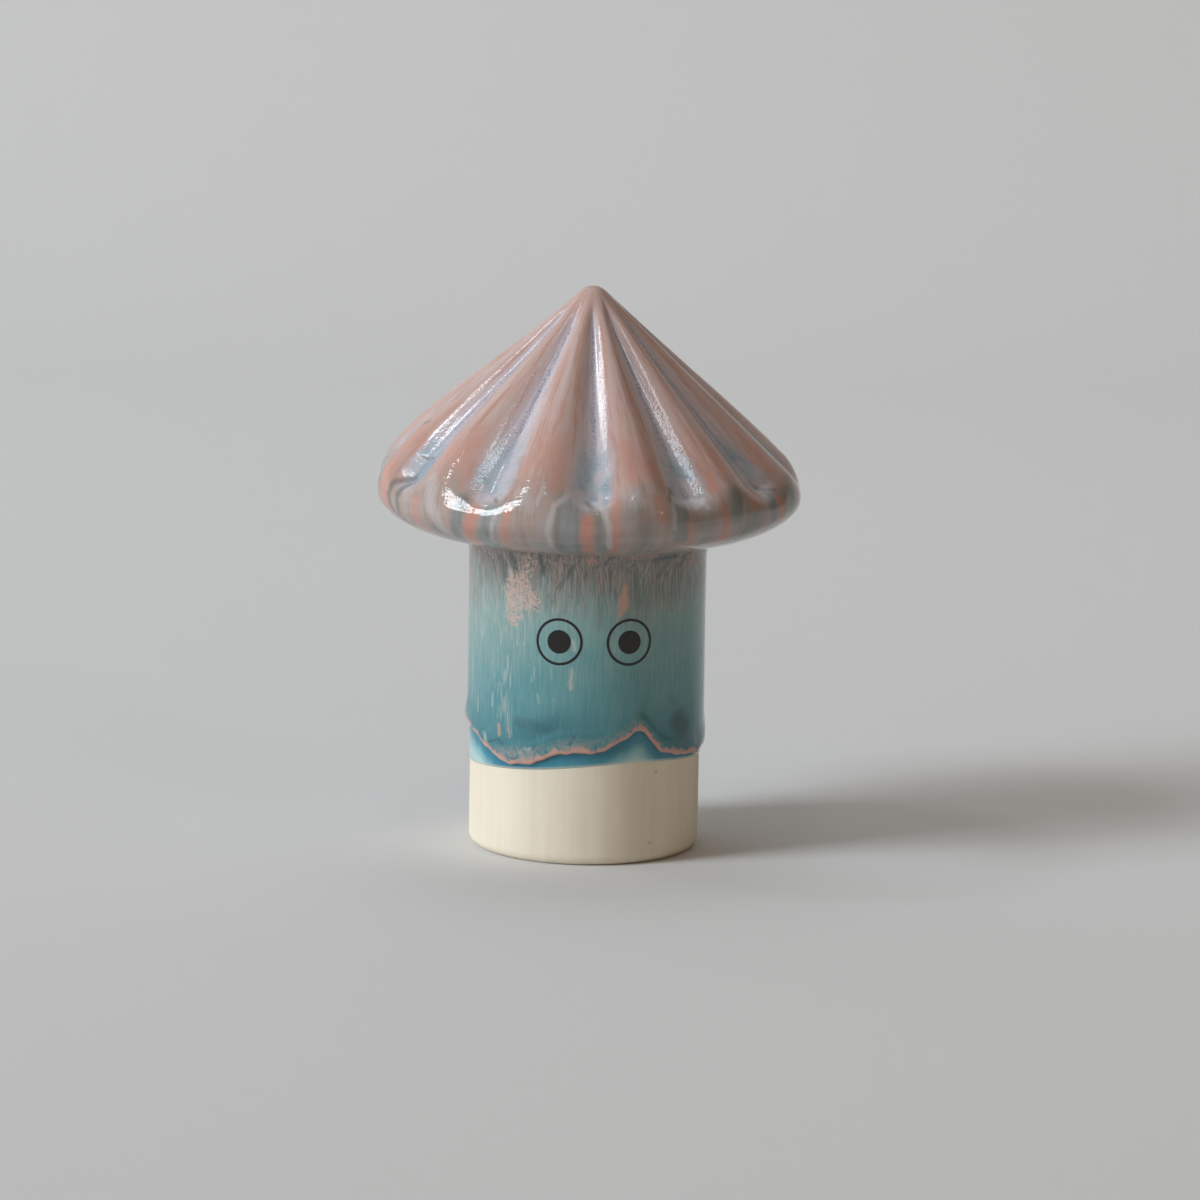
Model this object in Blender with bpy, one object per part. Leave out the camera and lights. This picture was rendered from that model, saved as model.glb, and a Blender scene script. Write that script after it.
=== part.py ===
# A glazed mushroom figurine: a slip-cast hollow stalk, a fluted hollow cap luted on top of it,
# three coats of glaze and a pair of fired-on eyes.
# Lengths are in metres, +Z is up, and the face looks along -Y.
import math

import bmesh
import bpy
from mathutils import Vector

MM = 0.001

# Driving dimensions of the clay and the glazed outside.
HEIGHT = 98.0 * MM
CAP_DIAMETER = 73.9 * MM
CAP_RIM_HEIGHT = 62.6 * MM
CAP_RIM_ROUND = 7.0 * MM
CAP_TIP_ROUND = 3.2 * MM
CAP_SEAT_HEIGHT = 54.9 * MM
CONE_BULGE = 1.15 * MM
CONE_LEAN = 0.85 * MM
LEAN_SIDE = math.radians(-90.0)
FULLNESS_POWER = 1.6
FULLNESS_EDGE = 1.3
UNDERSIDE_POWER = 2.1
STALK_DIAMETER = 40.0 * MM
FOOT_ROUND = 1.8 * MM

# Flutes pressed into the cap by hand, so their spacing drifts.
# The last four values are shares of the cap's radius.
FLUTE_COUNT = 12
FLUTE_DEPTH = 1.5 * MM
FLUTE_PHASE = 0.0
FLUTE_DRIFT = math.radians(1.4)
FLUTE_SOFTNESS = 0.42
FLUTE_START = 0.09
FLUTE_FULL = 0.36
FLUTE_FADE = 0.935
FLUTE_END = 1.03

# Walls and coats.
STALK_WALL = 4.3 * MM
STALK_FLOOR = 4.0 * MM
DRAIN_DIAMETER = 12.0 * MM
DRAIN_EDGE = 0.6 * MM
CAP_WALL = 5.0 * MM
CAP_ROOF = 7.5 * MM
HOLLOW_TIP_ROUND = 1.5 * MM
HOLLOW_ROUND = 2.0 * MM
CAP_GLAZE = 0.8 * MM
BASE_COAT = 0.25 * MM
BASE_COAT_SUNK = 0.10 * MM
BASE_COAT_TAPER = 0.4 * MM
RUN_COAT = 0.35 * MM
RUN_BEAD = 0.35 * MM
RUN_BEAD_HEIGHT = 1.0 * MM
RUN_BEAD_FADE = 4.0 * MM
RUN_CALM = 12.0 * MM
STALK_FLARE = 0.95 * MM
STALK_FLARE_LENGTH = 5.0 * MM

# Clearances between neighbours.
GLAZE_GAP = 0.30 * MM
DIP_STEP = 0.20 * MM
COAT_GAP = 0.15 * MM
UNDER_COAT_GAP = 0.20 * MM
LUTING_GAP = 0.30 * MM
TRANSFER_GAP = 0.10 * MM

# The socket that the stalk enters, and the slip that holds it.
SOCKET_DEPTH = 2.2 * MM
LUTING_THICKNESS = 0.6 * MM

# The dip line of the first coat is a tilted circle, and the second coat runs below its own level
# in rounded tongues: azimuth in degrees, half width in degrees, length of the run.
DIP_HEIGHT = 15.2 * MM
DIP_TILT = 1.7 * MM
DIP_HIGH_SIDE = math.radians(22.0)
RUN_HEIGHT = 23.2 * MM
RUNS = (
    (-34.0, 24.0, 5.7 * MM),
    (-2.0, 24.0, 3.2 * MM),
    (66.0, 26.0, 6.2 * MM),
    (112.0, 18.0, 3.4 * MM),
    (148.0, 20.0, 6.0 * MM),
    (192.0, 22.0, 4.0 * MM),
    (236.0, 20.0, 6.4 * MM),
    (272.0, 14.0, 2.6 * MM),
)

# Eyes.
FACE_AZIMUTH = math.radians(4.0)
EYE_HEIGHT = 39.3 * MM
EYE_SPREAD = math.radians(17.0)
EYE_RING_DIAMETER = 8.2 * MM
EYE_RING_LINE = 0.45 * MM
PUPIL_DIAMETER = 4.1 * MM
PUPIL_INNER_RINGS = (0.6, 0.25)
TRANSFER_THICKNESS = 0.20 * MM

# Facets round the axis: six to a flute, so that every groove and every ridge has a line of its own.
STEPS = FLUTE_COUNT * 6
FLARE_STEPS = 3
EYE_STEPS = 32
WELD = 0.001 * MM

# Derived sizes.
CAP_RADIUS = CAP_DIAMETER / 2
STALK_RADIUS = STALK_DIAMETER / 2
CLAY_UNDER_GLAZE = STALK_RADIUS - UNDER_COAT_GAP - BASE_COAT_SUNK
BASE_COAT_IN = CLAY_UNDER_GLAZE + UNDER_COAT_GAP
BASE_COAT_OUT = BASE_COAT_IN + BASE_COAT
RUN_COAT_IN = BASE_COAT_OUT + COAT_GAP
RUN_COAT_OUT = RUN_COAT_IN + RUN_COAT
BORE_RADIUS = STALK_RADIUS - STALK_WALL
CAP_CLAY_INSET = CAP_GLAZE + GLAZE_GAP
CAP_CLAY_BOTTOM = CAP_SEAT_HEIGHT + CAP_CLAY_INSET
SOCKET_RADIUS = CLAY_UNDER_GLAZE + LUTING_GAP
SOCKET_ROOF = CAP_CLAY_BOTTOM + SOCKET_DEPTH
STALK_TOP = SOCKET_ROOF - LUTING_THICKNESS - 2 * LUTING_GAP
COAT_TOP = CAP_SEAT_HEIGHT + CAP_GLAZE / 2
SEAT_RADIUS = RUN_COAT_OUT + STALK_FLARE + GLAZE_GAP


def smooth(low, high, value):
    t = min(1.0, max(0.0, (value - low) / (high - low)))
    return t * t * (3 - 2 * t)


def azimuth(co):
    return math.atan2(co.x, -co.y)


def dip_line(angle):
    return DIP_TILT * math.cos(angle - DIP_HIGH_SIDE)


def run_line(angle):
    drop = 0.0
    for centre, half_width, length in RUNS:
        away = (math.degrees(angle) - centre + 180.0) % 360.0 - 180.0
        drop += length * math.exp(-abs(away / half_width) ** 3)
    return -drop


def groove(angle):
    # One at the bottom of a groove and nought on a ridge, with round ridges and narrow grooves.
    drift = FLUTE_DRIFT * math.cos(3 * angle)
    ridge = math.sin(FLUTE_COUNT * (angle - drift - FLUTE_PHASE) / 2)
    low = FLUTE_SOFTNESS
    high = math.hypot(1.0, FLUTE_SOFTNESS)
    return (high - math.hypot(ridge, FLUTE_SOFTNESS)) / (high - low)


def flute_weight(radius):
    t = radius / CAP_RADIUS
    return smooth(FLUTE_START, FLUTE_FULL, t) * (1 - smooth(FLUTE_FADE, FLUTE_END, t))


def cone_slope(top, tip, radius, rim_round, rim_height):
    # The line that touches the tip circle and the rim circle from outside.
    across = radius - rim_round
    down = top - tip - rim_height
    return math.atan2(down, across) + math.asin((tip - rim_round) / math.hypot(across, down))


def fullness(share):
    # Nought at the tip and at the widest circle, and one at the fullest part of the cone.
    return max(0.0, math.sin(math.pi * share ** FULLNESS_POWER)) ** FULLNESS_EDGE


def cone_outline(top, tip, radius, rim_round, rim_height, counts):
    # Tip arc, straight cone and rim arc down to the widest circle.
    # Each point holds a radius, a height and its share of the way from the tip to the widest circle.
    slope = cone_slope(top, tip, radius, rim_round, rim_height)
    tip_count, cone_count, rim_count = counts
    rim_centre = radius - rim_round
    start = Vector((tip * math.sin(slope), top - tip + tip * math.cos(slope)))
    end = Vector((rim_centre + rim_round * math.sin(slope), rim_height + rim_round * math.cos(slope)))
    to_cone = tip * slope
    to_rim = to_cone + (end - start).length
    whole = to_rim + rim_round * (math.pi / 2 - slope)
    points = []
    for i in range(tip_count):
        a = slope * i / tip_count
        points.append((tip * math.sin(a), top - tip + tip * math.cos(a), tip * a / whole))
    for i in range(cone_count):
        t = i / cone_count
        at = start.lerp(end, t)
        points.append((at.x, at.y, (to_cone + t * (to_rim - to_cone)) / whole))
    for i in range(rim_count + 1):
        turned = (math.pi / 2 - slope) * i / rim_count
        a = slope + turned
        share = (to_rim + rim_round * turned) / whole
        points.append((rim_centre + rim_round * math.sin(a), rim_height + rim_round * math.cos(a), share))
    return points


def underside(inset, inner_radius, count):
    # From the widest circle round and in to the stalk.
    across = CAP_RADIUS - inset - inner_radius
    down = CAP_RIM_HEIGHT - CAP_SEAT_HEIGHT - inset
    points = []
    for i in range(1, count + 1):
        a = math.pi / 2 * i / count
        u = math.cos(a) ** (2 / UNDERSIDE_POWER) if i < count else 0.0
        v = math.sin(a) ** (2 / UNDERSIDE_POWER)
        points.append((inner_radius + across * u, CAP_RIM_HEIGHT - down * v))
    return points


def cap_outline(inset, inner_radius, counts, under_count):
    cone = cone_outline(
        HEIGHT - inset, CAP_TIP_ROUND - inset, CAP_RADIUS - inset, CAP_RIM_ROUND - inset, CAP_RIM_HEIGHT, counts
    )
    return cone, underside(inset, inner_radius, under_count)


def clay_material(name, colour, roughness):
    material = bpy.data.materials.new(name)
    material.use_nodes = True
    shader = material.node_tree.nodes["Principled BSDF"]
    shader.inputs["Base Color"].default_value = (*colour, 1.0)
    shader.inputs["Roughness"].default_value = roughness
    return material


def add_object(name, bm, material):
    bmesh.ops.remove_doubles(bm, verts=bm.verts, dist=WELD)
    bmesh.ops.recalc_face_normals(bm, faces=bm.faces)
    mesh = bpy.data.meshes.new(name)
    bm.to_mesh(mesh)
    bm.free()
    mesh.materials.append(material)
    made = bpy.data.objects.new(name, mesh)
    bpy.context.scene.collection.objects.link(made)
    return made


def spin_outline(points, closed):
    # Each point holds a radius, a height, its share of the wave or the flutes and its share of the fullness.
    # The spun copies keep both shares.
    bm = bmesh.new()
    share = bm.verts.layers.float.new("share")
    full = bm.verts.layers.float.new("full")
    verts = []
    for radius, height, wave, swell in points:
        # The first copy stands at the flutes' phase.
        vert = bm.verts.new((radius * math.sin(FLUTE_PHASE), -radius * math.cos(FLUTE_PHASE), height))
        vert[share] = wave
        vert[full] = swell
        verts.append(vert)
    edges = [bm.edges.new(pair) for pair in zip(verts, verts[1:])]
    if closed:
        edges.append(bm.edges.new((verts[-1], verts[0])))
    bmesh.ops.spin(
        bm, geom=verts + edges, cent=(0, 0, 0), axis=(0, 0, 1), angle=2 * math.pi, steps=STEPS, use_merge=True
    )
    bmesh.ops.remove_doubles(bm, verts=bm.verts, dist=WELD)
    return bm


def lift_by_line(bm, line):
    share = bm.verts.layers.float["share"]
    for vert in bm.verts:
        vert.co.z += vert[share] * line(azimuth(vert.co))
    return bm


def press_flutes(bm):
    # Moves each point along the cone's normal: in for the flutes, out for the fullness that leans to one side.
    # Faces are then split along their shorter diagonal, so that skins that lie on each other fold alike.
    share = bm.verts.layers.float["share"]
    full = bm.verts.layers.float["full"]
    slope = cone_slope(HEIGHT, CAP_TIP_ROUND, CAP_RADIUS, CAP_RIM_ROUND, CAP_RIM_HEIGHT)
    for vert in bm.verts:
        angle = azimuth(vert.co)
        swell = vert[full] * (CONE_BULGE + CONE_LEAN * math.cos(angle - LEAN_SIDE))
        depth = vert[share] * FLUTE_DEPTH * groove(angle) - swell
        inward = depth * math.sin(slope)
        vert.co.x -= inward * math.sin(angle)
        vert.co.y += inward * math.cos(angle)
        vert.co.z -= depth * math.cos(slope)
    pressed = [face for face in bm.faces if any(vert[share] + vert[full] > 0.0 for vert in face.verts)]
    bmesh.ops.triangulate(bm, faces=pressed, quad_method="SHORT_EDGE")
    return bm


def still(points):
    return [(point[0], point[1], 0.0, 0.0) for point in points]


def waved(points):
    # Points that follow the dip line or the run line in full.
    return [(radius, height, 1.0, 0.0) for radius, height in points]


def fluted(points):
    return [(radius, height, flute_weight(radius), fullness(share)) for radius, height, share in points]


def arc(centre, radius, first, last, count):
    points = []
    for i in range(count + 1):
        a = math.radians(first + (last - first) * i / count)
        points.append((centre[0] + radius * math.cos(a), centre[1] + radius * math.sin(a)))
    return points


def build_stalk(material):
    drain = DRAIN_DIAMETER / 2
    foot = arc((STALK_RADIUS - FOOT_ROUND, FOOT_ROUND), FOOT_ROUND, -90, 0, 4)
    low = DIP_HEIGHT - GLAZE_GAP
    dipped = waved([(STALK_RADIUS, low - DIP_STEP), (CLAY_UNDER_GLAZE, low)])
    inside = [
        (CLAY_UNDER_GLAZE, STALK_TOP),
        (BORE_RADIUS, STALK_TOP),
        (BORE_RADIUS, STALK_FLOOR + STALK_WALL / 2),
        (BORE_RADIUS - STALK_WALL / 2, STALK_FLOOR),
        (drain, STALK_FLOOR),
    ]
    points = still([(drain, DRAIN_EDGE), (drain + DRAIN_EDGE, 0.0)] + foot) + dipped + still(inside)
    return add_object("stalk", lift_by_line(spin_outline(points, True), dip_line), material)


def build_cap(material):
    inset = CAP_CLAY_INSET
    cone, under = cap_outline(inset, SEAT_RADIUS, (2, 6, 3), 3)
    socket = [(SOCKET_RADIUS, CAP_CLAY_BOTTOM), (SOCKET_RADIUS, SOCKET_ROOF), (BORE_RADIUS, SOCKET_ROOF)]
    floor = CAP_CLAY_BOTTOM + CAP_WALL
    hollow_radius = CAP_RADIUS - inset - CAP_WALL
    roof = HEIGHT - inset - CAP_ROOF
    hollow = cone_outline(roof, HOLLOW_TIP_ROUND, hollow_radius, HOLLOW_ROUND, floor + HOLLOW_ROUND, (1, 2, 2))
    inside = [(BORE_RADIUS, floor), (hollow_radius - HOLLOW_ROUND, floor)] + hollow[::-1]
    points = fluted(cone) + still(under + socket + inside)
    return add_object("cap", press_flutes(spin_outline(points, False)), material)


def build_luting(material):
    low = STALK_TOP + LUTING_GAP
    high = low + LUTING_THICKNESS
    outer = CLAY_UNDER_GLAZE
    ring = [(BORE_RADIUS, low), (outer, low), (outer, high), (BORE_RADIUS, high)]
    return add_object("luting_slip", spin_outline(still(ring), True), material)


def build_cap_glaze(material):
    cone, under = cap_outline(0.0, SEAT_RADIUS, (3, 9, 4), 4)
    cone_in, under_in = cap_outline(CAP_GLAZE, SEAT_RADIUS, (2, 6, 3), 3)
    points = fluted(cone) + still(under + under_in[::-1]) + fluted(cone_in[::-1])
    return add_object("cap_glaze", press_flutes(spin_outline(points, False)), material)


def build_base_glaze(material):
    # The lower edge thins out in a quarter round.
    edge = []
    for degrees in (0, 45, 90):
        a = math.radians(degrees)
        edge.append((BASE_COAT_IN + BASE_COAT * math.sin(a), DIP_HEIGHT + BASE_COAT_TAPER * (1 - math.cos(a))))
    top = [(BASE_COAT_OUT, COAT_TOP), (BASE_COAT_IN, COAT_TOP)]
    bm = spin_outline(waved(edge) + still(top), True)
    return add_object("stalk_base_glaze", lift_by_line(bm, dip_line), material)


def build_run_glaze(material):
    # The lower edge is a rolled bead, and the top flares into the cap's underside.
    bead = []
    for degrees in (-90, -45, 0, 45):
        a = math.radians(degrees)
        out = RUN_COAT_IN + (RUN_COAT + RUN_BEAD) * math.cos(a)
        bead.append((out, RUN_HEIGHT + RUN_BEAD_HEIGHT * (1 + math.sin(a))))
    bead.append((RUN_COAT_OUT, RUN_HEIGHT + RUN_BEAD_FADE))
    upper = [(RUN_COAT_OUT, RUN_HEIGHT + RUN_CALM)]
    for i in range(FLARE_STEPS + 1):
        t = i / FLARE_STEPS
        upper.append((RUN_COAT_OUT + STALK_FLARE * t ** 2, COAT_TOP - STALK_FLARE_LENGTH * (1 - t)))
    upper.append((RUN_COAT_IN, COAT_TOP))
    bm = spin_outline(waved(bead) + still(upper), True)
    return add_object("stalk_run_glaze", lift_by_line(bm, run_line), material)


def wrap(bm, angle):
    # Lays a flat outline, drawn in X and Z with its thickness along Y, round the glazed stalk.
    base = RUN_COAT_OUT + TRANSFER_GAP
    for vert in bm.verts:
        at = angle + vert.co.x / base
        out = base + vert.co.y
        vert.co = Vector((out * math.sin(at), -out * math.cos(at), vert.co.z))


def flat_circle(bm, radius):
    made = bmesh.ops.create_circle(bm, cap_ends=False, segments=EYE_STEPS, radius=radius)["verts"]
    for vert in made:
        vert.co = Vector((vert.co.x, 0.0, vert.co.y + EYE_HEIGHT))
    return made


def thicken(bm):
    made = bmesh.ops.extrude_face_region(bm, geom=list(bm.faces))["geom"]
    for item in made:
        if isinstance(item, bmesh.types.BMVert):
            item.co.y += TRANSFER_THICKNESS


def build_eye_ring(name, angle, material):
    bm = bmesh.new()
    flat_circle(bm, EYE_RING_DIAMETER / 2)
    flat_circle(bm, EYE_RING_DIAMETER / 2 - EYE_RING_LINE)
    bmesh.ops.bridge_loops(bm, edges=list(bm.edges))
    thicken(bm)
    wrap(bm, angle)
    return add_object(name, bm, material)


def build_pupil(name, angle, material):
    # Three rings of faces, so that the disc follows the round of the stalk.
    bm = bmesh.new()
    outer = PUPIL_DIAMETER / 2
    flat_circle(bm, outer)
    for share in PUPIL_INNER_RINGS:
        flat_circle(bm, outer * share)
    loops = list(bm.edges)
    count = EYE_STEPS
    bmesh.ops.bridge_loops(bm, edges=loops[:count] + loops[count:2 * count])
    bmesh.ops.bridge_loops(bm, edges=loops[count:2 * count] + loops[2 * count:])
    bmesh.ops.contextual_create(bm, geom=loops[2 * count:])
    thicken(bm)
    wrap(bm, angle)
    return add_object(name, bm, material)


def main():
    for old in list(bpy.data.objects):
        bpy.data.objects.remove(old, do_unlink=True)
    clay = clay_material("cream_stoneware", (0.74, 0.69, 0.57), 0.75)
    slip = clay_material("luting_slip_clay", (0.66, 0.60, 0.50), 0.85)
    cap_coat = clay_material("pink_and_blue_cap_glaze", (0.52, 0.33, 0.29), 0.12)
    base_coat = clay_material("pale_turquoise_glaze", (0.42, 0.62, 0.60), 0.15)
    run_coat = clay_material("turquoise_run_glaze", (0.14, 0.32, 0.34), 0.12)
    ink = clay_material("black_transfer_ink", (0.01, 0.01, 0.012), 0.3)
    build_stalk(clay)
    build_cap(clay)
    build_luting(slip)
    build_base_glaze(base_coat)
    build_run_glaze(run_coat)
    build_cap_glaze(cap_coat)
    left = FACE_AZIMUTH - EYE_SPREAD
    right = FACE_AZIMUTH + EYE_SPREAD
    build_eye_ring("eye_ring_left", left, ink)
    build_eye_ring("eye_ring_right", right, ink)
    build_pupil("eye_pupil_left", left, ink)
    build_pupil("eye_pupil_right", right, ink)


main()
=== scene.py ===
# %% [markdown]
# # A glazed mushroom figurine
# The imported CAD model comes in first, as a frame that is never moved. It holds the clay stalk, the fluted
# clay cap, three coats of glaze and the eyes. Each coat is then modelled again here as a smooth skin with
# runs and rolled edges, in the place of its CAD node, and every surface gets a finish of its own.

# %% Load the frame
import functools
import math

import bmesh
import bpy
import numpy as np
from mathutils import Matrix, Vector


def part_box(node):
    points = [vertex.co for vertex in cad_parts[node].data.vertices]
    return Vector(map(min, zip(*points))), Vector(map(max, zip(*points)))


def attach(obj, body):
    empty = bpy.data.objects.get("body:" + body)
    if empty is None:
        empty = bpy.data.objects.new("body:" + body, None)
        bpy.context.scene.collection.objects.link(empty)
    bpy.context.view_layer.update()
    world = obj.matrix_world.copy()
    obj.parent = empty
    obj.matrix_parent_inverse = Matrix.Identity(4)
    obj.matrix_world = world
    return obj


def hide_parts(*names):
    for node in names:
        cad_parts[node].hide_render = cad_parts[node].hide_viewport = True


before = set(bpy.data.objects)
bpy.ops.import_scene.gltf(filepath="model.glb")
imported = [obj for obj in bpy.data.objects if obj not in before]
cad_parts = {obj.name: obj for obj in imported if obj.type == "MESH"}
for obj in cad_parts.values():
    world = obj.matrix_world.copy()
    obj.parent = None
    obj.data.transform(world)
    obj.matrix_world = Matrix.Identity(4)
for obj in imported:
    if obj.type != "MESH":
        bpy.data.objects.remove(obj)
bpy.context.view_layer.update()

MM = 0.001

# %% [markdown]
# The main sizes are read from the boxes of the frame's nodes, so that every skin lies where its CAD node
# is.

# %% Sizes
cap_low, cap_high = (Vector(corner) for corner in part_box("cap_glaze"))
stalk_low, stalk_high = (Vector(corner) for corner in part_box("stalk"))
base_low, base_high = (Vector(corner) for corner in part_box("stalk_base_glaze"))
run_low, run_high = (Vector(corner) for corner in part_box("stalk_run_glaze"))
ring_low, ring_high = (Vector(corner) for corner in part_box("eye_ring_left"))

HEIGHT = cap_high.z
# The flutes press the rim in by about this much, so its round starts wider than the box.
RIM_PRESSED = 0.25 * MM
CAP_RADIUS = (cap_high.y - cap_low.y) / 2 + RIM_PRESSED
SEAT_HEIGHT = cap_low.z
CLAY_RADIUS = (stalk_high.y - stalk_low.y) / 2
BASE_COAT_RADIUS = (base_high.y - base_low.y) / 2
EYE_HEIGHT = (ring_low.z + ring_high.z) / 2
EYE_RING_RADIUS = (ring_high.z - ring_low.z) / 2
# The box of the run glaze holds its flare too, so the radius of its straight part is given.
RUN_RADIUS = 20.65 * MM
FLARE = (run_high.y - run_low.y) / 2 - RUN_RADIUS
main_sizes = {"height": HEIGHT, "cap radius": CAP_RADIUS, "clay radius": CLAY_RADIUS}
print("in mm:", {name: round(value / MM, 2) for name, value in main_sizes.items()})

# %% [markdown]
# Colours are given as the hex values that a paint program shows. Blender's shaders work in linear
# light, so one function turns each hex value to linear. A second function adds a shader node: what it is
# given is a value, a hex colour, or another node whose first output it then takes. Sockets go by name, or
# by number where a name comes twice: a Math node has its numbers at 0, 1 and 2, a Map Range its value at
# 0, the range that it reads at 1 and 2 and the range that it gives at 3 and 4, and a Mix node its share
# at 0 and its two colours at 6 and 7.

# %% Colour and node helpers
def colour(hex_value):
    channels = [int(hex_value[i:i + 2], 16) / 255 for i in (1, 3, 5)]
    linear = [c / 12.92 if c <= 0.04045 else ((c + 0.055) / 1.055) ** 2.4 for c in channels]
    return (*linear, 1.0)


def fill(made, inputs):
    for key, value in inputs.items():
        if isinstance(value, bpy.types.Node):
            value = next(socket for socket in value.outputs if socket.enabled)
        if isinstance(value, bpy.types.NodeSocket):
            made.id_data.links.new(value, made.inputs[key])
        else:
            made.inputs[key].default_value = colour(value) if isinstance(value, str) else value


def node(tree, kind, inputs=None, stops=None, **settings):
    made = tree.nodes.new("ShaderNode" + kind)
    for key, value in settings.items():
        setattr(made, key, value)
    fill(made, inputs or {})
    for i, (place, shade) in enumerate(stops or ()):
        elements = made.color_ramp.elements
        if i == 0:
            elements.remove(elements[1])
        element = elements.new(place) if i else elements[0]
        element.position = place
        element.color = colour(shade)
    return made


def new_material(name):
    # Gives the material, its own function that adds a node, and its shader.
    material = bpy.data.materials.new(name)
    material.use_nodes = True
    shader = material.node_tree.nodes["Principled BSDF"]
    print("material", name)
    return material, functools.partial(node, material.node_tree), shader


print("helpers ready")

# %% [markdown]
# The picture was taken from a little above the cap, with a long lens, and the figure leans a little in
# the frame. A camera a metre away with a 173 mm lens gives the same flattened view.

# %% Camera
SENSOR = 36.0
CAMERA_DISTANCE = 1.0
CAMERA_ELEVATION = math.radians(10.5)
CAMERA_ROLL = math.radians(1.1)
CAMERA_LENS = 172.7
CAMERA_AIM = Vector((2.2 * MM, -1.3 * MM, 43.2 * MM))

back = Vector((0.0, -math.cos(CAMERA_ELEVATION), math.sin(CAMERA_ELEVATION)))
camera_data = bpy.data.cameras.new("camera")
camera_data.lens = CAMERA_LENS
camera_data.sensor_width = SENSOR
camera_data.sensor_fit = "HORIZONTAL"
camera = bpy.data.objects.new("camera", camera_data)
bpy.context.scene.collection.objects.link(camera)
turn = (-back).to_track_quat("-Z", "Y").to_matrix().to_4x4() @ Matrix.Rotation(CAMERA_ROLL, 4, "Z")
camera.matrix_world = Matrix.Translation(CAMERA_AIM + back * CAMERA_DISTANCE) @ turn
bpy.context.scene.camera = camera
print("camera at", [round(v, 3) for v in camera.location])

# %% [markdown]
# The stage is a sheet of pale paper that runs from the floor up into a backdrop in one wide bend, so no
# horizon shows. A plane with a bevelled fold would do. A bend is a quarter circle, so a formula gives its
# outline with fewer steps. The paper is uncoated, so it is matt and mirrors nothing.

# %% Floor and backdrop
SHEET_HALF_WIDTH = 1.6
SHEET_FRONT = -1.4
BEND_START = 0.55
BEND_RADIUS = 0.6
SHEET_TOP = 1.8
BEND_STEPS = 24

sheet_line = [(SHEET_FRONT, 0.0)]
for i in range(BEND_STEPS + 1):
    a = math.pi / 2 * i / BEND_STEPS
    sheet_line.append((BEND_START + BEND_RADIUS * math.sin(a), BEND_RADIUS * (1 - math.cos(a))))
sheet_line.append((BEND_START + BEND_RADIUS, SHEET_TOP))
sheet_points = [(side * SHEET_HALF_WIDTH, y, z) for y, z in sheet_line for side in (-1, 1)]
sheet_faces = [(2 * i, 2 * i + 1, 2 * i + 3, 2 * i + 2) for i in range(len(sheet_line) - 1)]
sheet_mesh = bpy.data.meshes.new("paper_sheet")
sheet_mesh.from_pydata(sheet_points, [], sheet_faces)
sheet_mesh.shade_smooth()
sheet = bpy.data.objects.new("paper_sheet", sheet_mesh)
bpy.context.scene.collection.objects.link(sheet)

paper, _, paper_shader = new_material("uncoated_backdrop_paper")
fill(paper_shader, {"Base Color": "#DBDCDC", "Roughness": 0.9, "Specular IOR Level": 0.1})
sheet_mesh.materials.append(paper)
print("sheet with", len(sheet_faces), "strips")

# %% [markdown]
# A tall window of three panes stands to the left and in front of the figure, so its left side is bright
# and its right side falls into shade. A skylight above it and a small ceiling light draw the thin lines
# along the flutes. A small lamp far to the right gives one warm spark on the rim, a wide hanging lamp
# keeps the floor and the backdrop pale, and a warm room, dimmer behind on the right, fills the shade. All
# of them are area lights, because a glaze mirrors the shape of what lights it, and a point or a sun would
# show as a dot.

# %% Light
WINDOW_WAY = Vector((-0.86, -0.38, 0.42)).normalized()
WINDOW_DISTANCE = 3.2
PANE_SIZE = (0.92, 0.66)
PANE_PITCH = 0.77
PANE_POWER = 30.5
WINDOW_TINT = "#EFF8FF"
SKYLIGHT_PLACE = Vector((-0.92, 0.07, 1.30))
SKYLIGHT_SIZE = (0.17, 0.22)
SKYLIGHT_POWER = 1.4
CEILING_PLACE = Vector((-0.08, -0.53, 1.5))
CEILING_SIZE = (0.12, 0.2)
CEILING_POWER = 0.5
LAMP_PLACE = Vector((0.83, -0.72, 0.47))
LAMP_SIZE = (0.016, 0.016)
LAMP_POWER = 0.5
LAMP_TINT = "#FFE2B0"
HANGING_PLACE = Vector((0.2, 0.5, 1.4))
HANGING_SIZE = (1.6, 0.9)
HANGING_POWER = 1.08
HANGING_AIM = Vector((0.2, 0.38, 0.0))
HANGING_SPREAD = math.radians(75)
SKY_TINT = "#F4D4B6"
SKY_SIDE = (0.75, 0.65, 0.0)
SKY_NEAR, SKY_FAR = 0.35, 0.0


def area_light(name, place, size, power, tint, aim=Vector((0.0, 0.0, 0.0)), spread=math.pi):
    data = bpy.data.lights.new(name, "AREA")
    data.shape = "RECTANGLE"
    data.size, data.size_y = size
    data.energy = power
    data.color = colour(tint)[:3]
    data.spread = spread
    made = bpy.data.objects.new(name, data)
    facing = (place - aim).to_track_quat("Z", "Y").to_matrix().to_4x4()
    made.matrix_world = Matrix.Translation(place) @ facing
    bpy.context.scene.collection.objects.link(made)
    print(name, "at", [round(v, 2) for v in place])


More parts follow.
